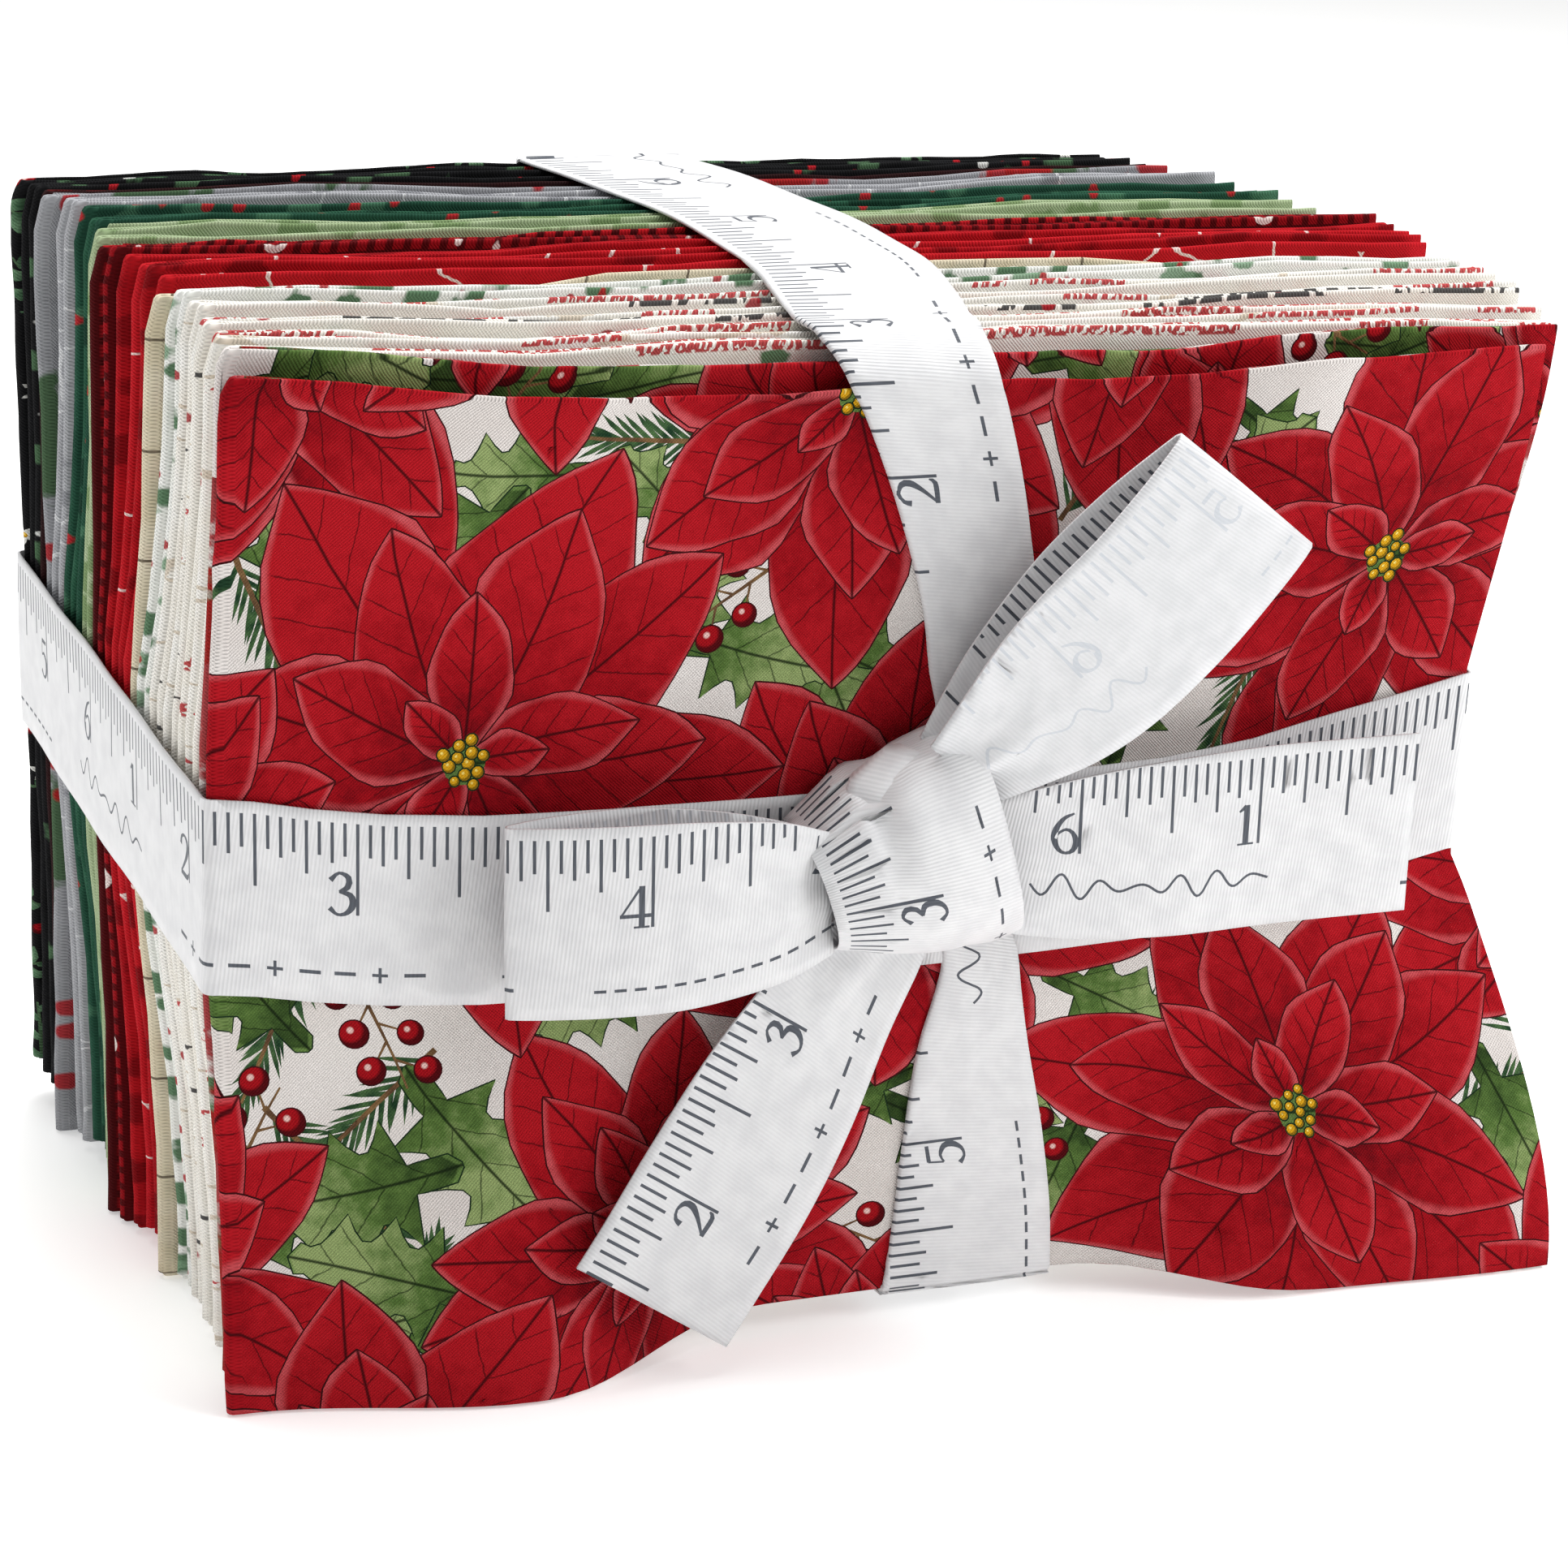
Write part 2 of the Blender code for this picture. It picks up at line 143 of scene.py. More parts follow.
# Lines that change from the front, 0, to the back, 1: the sides and the top where the ribbon presses
# them, how far the right edge flares out at the bottom, the top's right corner, and the top's dip.
runs = {
    "pressedLeft": ((0, 1), (-89.4, -93.6)),
    "pressedRight": ((0, 0.5, 1), (79.5, 84.5, 74.0)),
    "pressedTop": ((0, 0.034, 0.069, 0.41, 0.62, 1), (125.3, 128.0, 130.2, 133.2, 134.6, 136.0)),
    "flare": ((0, 0.04, 0.3, 1), (10.5, 6.5, 1.5, 3.0)),
    "corner": ((0, 0.04, 0.2, 1), (-3.0, -4.0, -1.5, 0.0)),
    "dip": ((0, 0.034, 0.069, 0.4, 1), (4.2, 3.8, 2.0, 0.7, 0.0)),
}

# Each cut from the front: left and right edge, top, how far its bottom is lifted, and its cloth.
cuts = (
    (-88.5, 84.0, 131.0, 0.0, "poinsettia"),
    (-88.0, 88.0, 133.5, 3.5, "poinsettia"),
    (-87.0, 89.5, 132.5, 4.0, "creamWords"),
    (-87.5, 90.0, 133.2, 3.5, "creamPlain"),
    (-86.8, 91.5, 132.6, 3.0, "creamWords"),
    (-87.2, 91.0, 133.6, 3.0, "creamCheck"),
    (-86.6, 92.5, 133.0, 2.0, "creamPlain"),
    (-86.3, 91.5, 133.8, 2.0, "creamCheck"),
    (-86.6, 92.0, 133.4, 1.5, "creamPlain"),
    (-86.2, 90.5, 134.0, 1.0, "whiteHolly"),
    (-86.8, 91.0, 133.6, 1.0, "whiteHolly"),
    (-88.6, 90.0, 132.2, 0.0, "beigePlaid"),
    (-87.0, 91.5, 134.0, 1.5, "redScroll"),
    (-87.6, 92.5, 134.6, 2.5, "redTone"),
    (-88.0, 93.0, 134.2, 2.0, "redScroll"),
    (-89.2, 92.5, 134.0, 0.5, "redTone"),
    (-90.2, 91.5, 134.8, 0.0, "redRings"),
    (-91.2, 88.5, 134.2, 0.0, "redCheck"),
    (-90.6, 86.0, 134.6, 3.0, "sage"),
    (-90.0, 84.0, 135.2, 4.0, "sage"),
    (-89.4, 83.5, 135.8, 4.0, "forest"),
    (-89.2, 82.0, 135.2, 3.5, "forestTone"),
    (-89.8, 80.5, 135.8, 2.5, "forest"),
    (-90.6, 79.0, 136.2, 1.0, "silver"),
    (-90.8, 77.5, 135.8, 0.5, "silver"),
    (-93.2, 75.0, 136.0, 0.0, "greyHolly"),
    (-92.4, 73.0, 135.6, 2.5, "redBlack"),
    (-92.6, 72.0, 135.8, 4.0, "blackSprig"),
    (-93.0, 73.5, 135.4, 4.5, "blackSprig"),
    (-93.6, 72.0, 135.0, 5.0, "blackSprig"),
)
depth = len(cuts) * stack["pitch"] - (stack["pitch"] - stack["pieceDepth"])


def lineAt(name, t):
    return np.interp(t, *runs[name])


def sideLine(z, tie, free, tied, high):
    # held by the ribbon, the edge springs out below and above it, quickly at first
    below = np.clip((tie[0] - z) / tie[0], 0, 1)
    above = np.clip((z - tie[1]) / (stack["upward"][-1] - tie[1]), 0, 1)
    spring = stack["spring"]
    return tied + (free - tied) * (1 - (1 - below) ** spring) + (high - tied) * (1 - (1 - above) ** spring)


def tiedDepth(y, x, z):
    # carries a depth in the straight stack to the tied one
    across, upward = stack["across"], stack["upward"]
    t = (y + depth / 2) / depth
    upright = ease(x, across, (0, 0, 1, 1, 0, 0))
    level = ease(z, upward, (0, 1, 1, 0))
    press = upright + level - upright * level
    low = ease(x, across, (0.0, 7.0, 0.0, 0.0, 7.0, 8.5))
    high = ease(x, across, (0.5, 2.0, 0.0, 0.0, 2.0, 1.0))
    puff = low * ease(z, upward, (1, 0, 0, 0)) + high * ease(z, upward, (0, 0, 0, 1))
    tied = y * (1 - stack["squeeze"] * press) + puff * (stack["backPuff"] * t ** 2 - (1 - t) ** 2)
    # the cloth isn't flat: long slow waves that die out under the ribbon
    wave = np.sin(x / 13 + z / 31 + 0.6) * np.sin(z / 19 - x / 47 + 1.1) + 0.6 * np.sin(x / 7.5 - z / 16)
    return tied + stack["wave"] * wave * (1 - press) * (0.4 + 0.6 * (1 - t))


def cutEdges(cut, t):
    left, right, top, lift = cut[:4]
    flush, dip, pressed = lineAt("pressedTop", t), lineAt("dip", t), stack["pressedBottom"]
    return {
        "left": (stack["leftTie"], left, lineAt("pressedLeft", t), left),
        "right": (stack["rightTie"], right + lineAt("flare", t), lineAt("pressedRight", t), right),
        "top": (top, top - dip, flush, flush, top - 0.85 * dip, top + lineAt("corner", t)),
        "bottom": (lift, lift * 0.6, pressed, pressed, lift * 0.6, lift * 0.7),
    }


fold = {
    "faceWidth": 177.8,      # a third of 21 in
    "faceHeight": 131.0,
    "layer": 0.37,           # one cloth and the air beside it
    "cloth": 0.27,
    "edgeStep": 0.9,         # how unevenly the layers' edges lie
}


def foldTurns():
    # radius of the wide folds at the sides, and the cloth that a side fold and a top fold take up each way
    radius = fold["layer"] * 1.5
    return radius, math.pi * radius / 2, math.pi * fold["layer"] / 4


def foldPoints(u, v, index):
    # u runs along the cloth's 21 in side and v along its 18 in side. The cloth is folded in thirds
    # upward and then in thirds across, which makes nine layers.
    cut = cuts[index]
    edges = cutEdges(cut, index / (len(cuts) - 1))
    w, h, layer = fold["faceWidth"], fold["faceHeight"], fold["layer"]
    turnR, turnU, turnV = foldTurns()
    u = np.asarray(u, dtype=float)
    v = np.asarray(v, dtype=float)
    dice = random.Random(index * 13 + 5)

    # upward: the front third runs up, the middle down, the back up
    third = np.clip(np.floor(v / h), 0, 2)
    b = np.where(third == 1, 1 - (v / h - third), v / h - third)
    lift = layer * (1 - third)
    rise = np.zeros_like(v)
    for foldLine, side, above in ((h, 1, layer), (2 * h, -1, 0.0)):
        near = np.abs(v - foldLine) < turnV
        angle = (np.clip((v - foldLine) / turnV, -1, 1) + 1) * math.pi / 2
        lift = np.where(near, above - layer / 2 + layer / 2 * np.cos(angle), lift)
        rise = np.where(near, side * layer / 2 * np.sin(angle), rise)
        b = np.where(near, 1.0 if side > 0 else 0.0, b)

    # across: panels run right to left, left to right, right to left
    panel = np.clip(np.floor(u / w), 0, 2)
    a = np.where(panel == 1, u / w - panel, 1 - (u / w - panel))
    bent = np.zeros_like(u)
    for foldLine in (w, 2 * w):
        near = np.abs(u - foldLine) < turnU
        bent = np.where(near, (np.clip((u - foldLine) / turnU, -1, 1) + 1) * math.pi / 2, bent)
    atLeft = np.abs(u - w) < turnU
    atRight = np.abs(u - 2 * w) < turnU
    a = np.where(atLeft, 0.0, np.where(atRight, 1.0, a))
    y = layer * (1.5 + 3 * panel) + np.where(panel == 1, 1.0, -1.0) * lift
    y = np.where(atLeft, layer * 3 - (turnR + lift) * np.cos(bent), y)
    y = np.where(atRight, layer * 6 - (turnR - lift) * np.cos(bent), y)
    bulge = np.where(atLeft, -(turnR + lift) * np.sin(bent), 0.0)
    bulge = np.where(atRight, (turnR - lift) * np.sin(bent), bulge)
    if index == len(cuts) - 1:
        y = layer * 9 - y      # the last cut lies face down, so that its clean side shows at the back
    y0 = -depth / 2 + index * stack["pitch"] - (stack["frontAhead"] if index == 0 else 0.0)

    # the outline of this cut, a little uneven from layer to layer
    nominal = stack["across"][0] + a * (stack["faceRight"] - stack["across"][0])
    across = (*stack["across"][:5], stack["faceRight"])
    rimTop = layer / 2 + fold["cloth"] / 2
    rimSide = turnR + layer + fold["cloth"] / 2
    places = (0, 0.92, 1.08, 1.92, 2.08, 3)
    step = fold["edgeStep"]
    lowered = np.interp(u / w, places, np.repeat((0.0, dice.uniform(0.2, 1), dice.uniform(0.1, 1)), 2)) * step
    shifted = np.interp(v / h, places, np.repeat((0.0, dice.uniform(0, 0.5), dice.uniform(0, 0.5)), 2)) * step
    topLine = ease(nominal, across, edges["top"]) - rimTop - lowered
    topLine = topLine + ripple(nominal, index * 7 + 1, 61.0, 0.35) + ripple(u, index * 5 + 2, 23.0, 0.12)
    bottomLine = ease(nominal, across, edges["bottom"])
    freeBottom = dice.uniform(0.1, 0.8) if index else 0.1
    low = np.where(v < h / 2, bottomLine + freeBottom + 0.15, bottomLine + rimTop)
    high = np.where(third == 2, topLine - dice.uniform(0.4, 1.8), topLine)
    z = low + b * (high - low) + rise

    leftLine = sideLine(z, *edges["left"]) + rimSide + shifted
    leftLine = leftLine + np.abs(ripple(z, index * 11 + 3, 47.0, 0.3))
    rightLine = sideLine(z, *edges["right"]) - rimSide - shifted
    corner = 1.3 * np.clip((z - (topLine + rimTop - 4.0)) / 4.0, 0, 1) ** 2
    leftLine = leftLine + corner + np.where(panel == 2, dice.uniform(0.2, 1.6) * (1 - a), 0.0)
    rightLine = rightLine + np.where(panel == 0, (rimSide - dice.uniform(0.2, 0.6)) * a, 0.0)
    x = leftLine + a * (rightLine - leftLine) + bulge
    y = tiedDepth(y0 + y, x, z)
    return np.stack((x, y, z), axis=-1)


def foldStations(size, parts, turn, steps):
    # where to cut each third into faces: fine at the folds
    stations = []
    for k in range(3):
        start = k * size + (turn if k else 0.0)
        end = (k + 1) * size - (turn if k < 2 else 0.0)
        places = parts if k != 1 else [1 - p for p in reversed(parts)]
        stations += [start + (end - start) * p for p in places]
        if k < 2:
            stations += [(k + 1) * size + turn * (2 * i / (steps + 1) - 1) for i in range(1, steps + 1)]
    return stations


shares = {
    "across": (0, .03, .08, .14, .2, .26, .32, .37, .41, .46, .52, .58, .64, .7, .77, .84, .9, .95, .98, 1),
    "bends": (.23, .29, .345, .39, .61, .67, .705, .735, .77, .805, .87),      # where the front bends most
    "upward": (0, .03, .08, .14, .21, .28, .36, .44, .54, .63, .71, .79, .86, .92, .97, 1),
}


def clothGrid(acrossShares, at=0, vFrom=None):
    # the whole cloth in faces; where vFrom is given, the part that a printed panel covers is left out
    turnU, turnV = foldTurns()[1:]
    w, h = fold["faceWidth"], fold["faceHeight"]
    us = foldStations(w, [1 - p for p in reversed(acrossShares)], turnU, 5)
    vs = foldStations(h, shares["upward"], turnV, 3)
    if vFrom:
        vs = sorted({*vs, vFrom})
    u, v = np.meshgrid(us, vs)
    faces = []
    for j in range(len(vs) - 1):
        for i in range(len(us) - 1):
            inPanel = (us[i] + us[i + 1]) / 2 < w + turnU and (vs[j] + vs[j + 1]) / 2 < h + turnV
            if vFrom is None or not inPanel or (vs[j] + vs[j + 1]) / 2 <= vFrom:
                corner = at + j * len(us) + i
                faces.append((corner, corner + len(us), corner + len(us) + 1, corner + 1))
    return np.stack((u, v), axis=-1).reshape(-1, 2), faces


def foldedCloth(index):
    flat, faces = clothGrid(shares["across"])
    points = toWorld(foldPoints(flat[:, 0], flat[:, 1], index))
    # each cut starts elsewhere in its print
    uvs = (flat + (83.0 * index, 0)) * mm
    return meshObject("fatQuarter%02d" % (index + 1), points, faces, uvs, fold["cloth"])


# The flower print. Its shapes are laid out in millimetres on the flat cloth, as seen on the front of the
# first cut: x from -89 at the left fold to 89, z from 0 at the bottom edge to 131 at the fold on top.
flowerPrint = {
    "ink": 0.2,                # the dark line round each shape
    "pieces": 3.3,             # how finely plain parts are cut, in mm
    "pollen": (12, 0.95, 2.4),     # grains, how widely they lie, and the turn from one to the next
    # middle x, z, reach of the petals, turn, seed
    "flowers": (
        (-104, 18, 38, 20, 3), (-86, 137, 40, 0, 4), (-8, 131, 42, 15, 5), (3, 60, 40, 40, 6),
        (104, 52, 38, 10, 7), (-36, 16, 37, 25, 8), (54, 25, 43, 8, 9), (-57, 84, 44, 34, 10),
        (71, 103, 43, 52, 11), (30, 146, 36, 5, 12), (-6, -14, 34, 30, 13), (-100, 74, 30, 12, 14),
        (-50, 154, 38, 20, 15), (98, -14, 36, 0, 16), (-72, -16, 36, 10, 17),
    ),
    # x, z at the stalk, direction, length
    "hollyLeaves": (
        (-16, 99, -20, 25), (-12, 100, -62, 22), (-84, 104, 75, 18), (-80, 60, 200, 20), (-78, 47, 130, 22),
        (-66, 44, -60, 27), (-60, 22, -95, 25), (-12, 34, 60, 22), (-4, 30, -30, 25), (30, 60, 25, 24),
        (34, 76, 75, 24), (26, 90, 40, 22), (86, 74, 190, 24), (92, 82, -70, 22), (24, 6, 150, 24),
        (10, 12, 60, 20), (90, 10, 30, 18), (44, 127, -40, 20), (-42, 122, 185, 20), (-30, 53, 190, 22),
        (88, 128, 200, 18), (-85, 8, 10, 20), (60, 66, -50, 20), (-28, 112, 130, 18),
        (-74, 32, -150, 25), (-66, 18, -35, 24), (-34, 92, 70, 24), (38, 110, 40, 22), (22, 47, -35, 25),
        (82, 32, -75, 25), (26, 26, -115, 22), (-52, 120, -130, 22), (70, 60, 10, 22),
        (-60, 31, 195, 27), (-58, 14, 165, 25), (-30, 100, -20, 24), (2, 34, 200, 22),
    ),
    "pineSprigs": (
        (-88, 111, -66, 26), (-77, 62, -115, 26), (-24, 40, -150, 24), (32, 129, -72, 28), (57, 96, -112, 28),
        (8, 94, -35, 24), (20, 20, -125, 24), (92, 30, 120, 26), (-58, 54, 25, 24), (-74, 4, 60, 22),
        (22, 112, 60, 20), (88, 86, 35, 20), (-24, 125, 176, 26), (-62, 46, -140, 28), (30, 36, 20, 24),
        (76, 22, 20, 24), (-84, 40, -50, 26),
    ),
    # x, z of the spray's stalk, direction, berries
    "berrySprays": (
        (-18, 108, 215, 4), (-72, 58, -70, 6), (84, 66, -100, 4), (14, 28, -70, 5), (36, 98, -100, 4),
        (-12, 12, -30, 4), (92, 120, 200, 4), (-88, 32, 60, 4),
    ),
}


# how a petal's half width runs from root to tip: share ** rise * (1 - share) ** fall * peak
petalForm = {"rise": 1.15, "fall": 1.0, "peak": 4.5}


def leafWidth(p, half):
    return half * petalForm["peak"] * p ** petalForm["rise"] * (1 - p) ** petalForm["fall"]


def walk(x, z, degrees, way):
    # the place that lies so far away in that direction
    turn = math.radians(degrees)
    return x + way * math.cos(turn), z + way * math.sin(turn)


class PrintLayout:
    # collects the print's shapes, the later ones on top
    def __init__(self):
        self.outlines, self.looks, self.frames = [], [], []

    def add(self, look, x, z, angle, outline, size, bend=0.0, tone=0.5, ink=None):
        # outline: points along and across from the shape's own root; size: its length and half width
        outline = np.array(outline, dtype=float)
        if ink:
            before, after = np.roll(outline, 1, axis=0), np.roll(outline, -1, axis=0)
            way = unit(after - before + 1e-9)
            outward = np.stack((way[:, 1], -way[:, 0]), axis=-1)
            self.add(ink, x, z, angle, outline + outward * flowerPrint["ink"], size, bend, tone)
        cosine, sine = math.cos(math.radians(angle)), math.sin(math.radians(angle))
        along, across = outline[:, 0], outline[:, 1] + bend * (outline[:, 0] / size[0]) ** 2 * size[0]
        placed = (x + along * cosine - across * sine, z + along * sine + across * cosine)
        self.outlines.append(np.stack(placed, axis=-1))
        self.looks.append(look)
        self.frames.append((x, z, cosine, sine, bend, *size, tone))

    def ball(self, look, spot, radius, corners, ink=None):
        turns = np.linspace(0, 2 * math.pi, corners + 1)[:-1]
        circle = np.stack((np.cos(turns), np.sin(turns)), axis=-1)
        self.add(look, *spot, 0, circle * radius, (radius, radius), ink=ink)

    def petal(self, x, z, angle, length, half, dice):
        p = (1 - np.cos(np.linspace(0, math.pi, 17))) / 2
        waves = [1 + 0.07 * np.sin(p * dice.uniform(9, 15) + dice.uniform(0, 6)) for _ in range(2)]
        right = np.stack((p * length, -leafWidth(p, half) * waves[0]), axis=-1)
        left = np.stack((p * length, leafWidth(p, half) * waves[1]), axis=-1)
        self.add("petal", x, z, angle, np.vstack((right, left[-2:0:-1])), (length, half),
                 dice.choice((-1, 1)) * dice.uniform(0.04, 0.24), dice.random(), "petalInk")

    def flower(self, x, z, reach, turn, seed):
        dice = random.Random(seed)
        for count, share, slim in ((7, 1.0, 0.25), (6, 0.8, 0.25), (5, 0.56, 0.25), (3, 0.3, 0.26)):
            order = list(range(count))
            dice.shuffle(order)
            for k in order:
                angle = turn + 360 / count * k + dice.uniform(-9, 9)
                length = reach * share * dice.uniform(0.82, 1.02)
                self.petal(x, z, angle, length, length * slim * dice.uniform(0.9, 1.15), dice)
            turn += 180 / count + dice.uniform(-8, 8)
        # the green eye and its pollen, in a spiral
        eye = [(2.9 * math.cos(k * math.pi / 5), 2.9 * math.sin(k * math.pi / 5)) for k in range(10)]
        self.add("leaf", x, z, 0, eye, (6, 3), tone=0.1)
        grains, spread, step = flowerPrint["pollen"]
        for k in range(grains):
            spot = walk(x, z, math.degrees(k * step), spread * math.sqrt(k + 0.4))
            self.ball("pollen", spot, dice.uniform(0.62, 0.85), 10, "leafInk")

    def holly(self, x, z, angle, length, dice):
        # each side runs in four bays between its spines
        side = []
        half = length * 0.35
        for k, (start, end) in enumerate(((0.05, 0.3), (0.3, 0.53), (0.53, 0.76), (0.76, 1.0))):
            for share in np.linspace(0, 1, 6)[:-1]:
                p = start + (end - start) * share
                spine = half * (1.12 if k else 0.25) * (1 - p) ** 0.35 * (0.75 + 0.5 * p)
                bay = (0.42 if k else 0.0) * math.sin(math.pi * share) * half
                side.append((p * length, spine - bay))
        side = np.array(side + [(length, 0.0)])
        self.add("leaf", x, z, angle, np.vstack(([[0, -0.3]], side * (1, -1), side[-2::-1], [[0, 0.3]])),
                 (length, half), dice.uniform(-0.12, 0.12), dice.random(), "leafInk")

    def stem(self, x, z, angle, length, width):
        outline = ((0, -width), (length, -width * 0.5), (length, width * 0.5), (0, width))
        self.add("stem", x, z, angle, outline, (length, width))

    def pine(self, x, z, angle, length, dice):
        for k in range(30):
            share = k / 29
            lean = (42 - 22 * share) * (1 if k % 2 else -1) + dice.uniform(-7, 7)
            needle = length * dice.uniform(0.2, 0.27) * (1 - 0.25 * share)
            self.add("needle", *walk(x, z, angle, length * (0.08 + 0.8 * share)), angle + lean,
                     ((0, -0.34), (needle * 0.6, -0.3), (needle, 0), (needle * 0.6, 0.3), (0, 0.34)),
                     (needle, 0.34), tone=dice.random())
        self.stem(x, z, angle, length * 0.9, 0.4)

    def berries(self, x, z, angle, count, dice):
        self.stem(x, z, angle, count * 3.0, 0.28)
        for k in range(count):
            lean = angle + (50 if k % 2 else -50)
            root = walk(x, z, angle, 0.4 + 2.7 * k)
            self.stem(*root, lean, 3.6, 0.2)
            self.ball("berry", walk(*root, lean, 4.4), dice.uniform(1.55, 1.9), 18, "petalInk")


# what the second cut shows of the same print, along its fold on top
topStrip = {
    "flowers": ((-60, 150, 26, 0, 31), (-10, 112, 36, 12, 32), (8, 150, 30, 0, 33), (40, 114, 26, 25, 34),
                (92, 118, 30, 5, 35), (62, 152, 26, 12, 36)),
    "hollyLeaves": ((-88, 126, 15, 20), (-66, 129, 0, 30), (-48, 127, 10, 24), (14, 130, 5, 24),
                    (54, 130, -8, 26), (60, 126, 20, 24), (-84, 134, -10, 20), (-30, 133, -5, 22)),
    "pineSprigs": ((-70, 122, 25, 26), (60, 120, 60, 24)),
    "berrySprays": ((-56, 124, 60, 4), (50, 134, -30, 4)),
}


def layOutFlowers(plan):
    layout = PrintLayout()
    dice = random.Random(21)
    draws = {"pineSprigs": layout.pine, "hollyLeaves": layout.holly, "berrySprays": layout.berries}
    for kind, draw in draws.items():
        for placed in plan[kind]:
            draw(*placed, dice)
    for placed in plan["flowers"]:
        layout.flower(*placed)
    return layout


# The last cut's print, seen on the back: small sprigs with berries and white buds, strewn on black.
sprigPrint = {"step": 15.5, "stray": 3.2, "length": (9.0, 13.0), "leaf": 3.6, "berry": 0.95, "bud": 1.7}


def layOutSprigs():
    layout = PrintLayout()
    dice = random.Random(77)
    p = (1 - np.cos(np.linspace(0, math.pi, 7))) / 2
    half = np.sin(np.pi * p ** 0.8) * 0.24
    leaf = np.vstack((np.stack((p, -half), axis=-1), np.stack((p, half), axis=-1)[-2:0:-1]))
    step, stray, bud = (sprigPrint[k] for k in ("step", "stray", "bud"))
    for row in range(10):
        for column in range(13):
            x = -92 + step * (column + 0.5 * (row % 2)) + dice.uniform(-stray, stray)
            z = -2 + step * 0.92 * row + dice.uniform(-stray, stray)
            angle = dice.uniform(0, 360)
            length = dice.uniform(*sprigPrint["length"])
            layout.stem(x, z, angle, length, 0.22)
            for k in range(6):
                size = sprigPrint["leaf"] * dice.uniform(0.8, 1.1)
                layout.add("leaf", *walk(x, z, angle, length * (0.25 + 0.125 * k)),
                           angle + (48 if k % 2 else -48), leaf * size, (size, size * 0.24),
                           tone=dice.random())
            for k in range(2):
                away = angle + dice.uniform(130, 230) + math.degrees(k)
                layout.ball("berry", walk(x, z, away, 1.4 + 1.7 * k), sprigPrint["berry"], 8)
            spot = walk(x, z, angle + math.degrees(2.2), step * 0.42)
            for k in range(5):
                layout.add("petal", *spot, k * 72 + angle, leaf * bud, (bud, 0.45), tone=dice.random())
            layout.ball("pollen", spot, 0.42, 8)
    return layout


printLooks = ("ground", "petal", "leaf", "needle", "stem", "berry", "pollen", "petalInk", "leafInk", "hidden")


def usedOnly(points, faces):
    # leaves out the points that no face uses, because loose points would count in the size
    used, places = np.unique(np.concatenate([list(face) for face in faces]), return_inverse=True)
    ends = np.cumsum([len(face) for face in faces])
    return points[used], [tuple(face.tolist()) for face in np.split(places.ravel(), ends[:-1])]


def cutAlongPrint(xs, ys, spots, lines, outlines):
    # Cuts a flat rectangle, with points along its sides at xs and ys, along the outlines of its print.
    # Returns the flat points, the triangles and the number of the topmost outline over each, or -1.
    x0, x1, y0, y1 = xs[0], xs[-1], ys[0], ys[-1]
    points = [(x, y0) for x in xs[:-1]] + [(x1, y) for y in ys[:-1]]
    points += [(x, y1) for x in xs[:0:-1]] + [(x0, y) for y in ys[:0:-1]]
    edges, faces, outlineOf = [], [list(range(len(points)))], [-1]
    points += list(spots)
    for start, end in lines:
        points += [start, end]
        edges.append((len(points) - 2, len(points) - 1))
    for k, outline in enumerate(outlines):
        ahead = np.roll(outline, -1, axis=0)
        if np.sum(outline[:, 0] * ahead[:, 1] - ahead[:, 0] * outline[:, 1]) < 0:
            outline = outline[::-1]
        low, high = outline.min(axis=0), outline.max(axis=0)
        if high[0] < x0 or low[0] > x1 or high[1] < y0 or low[1] > y1:
            continue
        faces.append(list(range(len(points), len(points) + len(outline))))
        points += outline.tolist()
        outlineOf.append(k)
    cut = delaunay_2d_cdt([Vector(p) for p in points], edges, faces, 0, 1e-5)
    triangles, shows = [], []
    for triangle, owners in zip(cut[2], cut[5]):
        if 0 in owners:
            triangles.append(tuple(triangle))
            shows.append(outlineOf[max(owners)])
    flat, triangles = usedOnly(np.array([tuple(p) for p in cut[0]]), triangles)
    return flat, triangles, shows


def printedPanel(layout, vFrom):
    # the cloth from its right edge over the fold at the left, and from vFrom over the fold on top
    turnU, turnV = foldTurns()[1:]
    w, h = fold["faceWidth"], fold["faceHeight"]
    uEnd, vEnd = w + turnU, h + turnV
    inside = 0.001
    turnUs = w + turnU * np.linspace(-1, 0.8, 7)
    turnVs = h + turnV * np.linspace(-1, 0.75, 5)
    count = int(w / flowerPrint["pieces"])
    rows = max(2, int((h - vFrom) / flowerPrint["pieces"]))
    us = np.concatenate(([0], np.linspace(1.0, w - turnU - 1.5, count), turnUs, [uEnd]))
    vs = np.concatenate(([vFrom], np.linspace(vFrom + 1.0, h - turnV - 1.5, rows), turnVs, [vEnd]))
    u, v = np.meshgrid(us[1:-1], vs[1:-1])
    spots = np.stack((u.ravel(), v.ravel()), axis=-1).tolist()
    lines = [((inside, v), (uEnd - inside, v)) for v in turnVs]
    lines += [((u, vFrom + inside), (u, vEnd - inside)) for u in turnUs]
    outlines = [np.stack((w / 2 - outline[:, 0], outline[:, 1]), axis=-1) for outline in layout.outlines]
    return cutAlongPrint(us, vs, spots, lines, outlines)


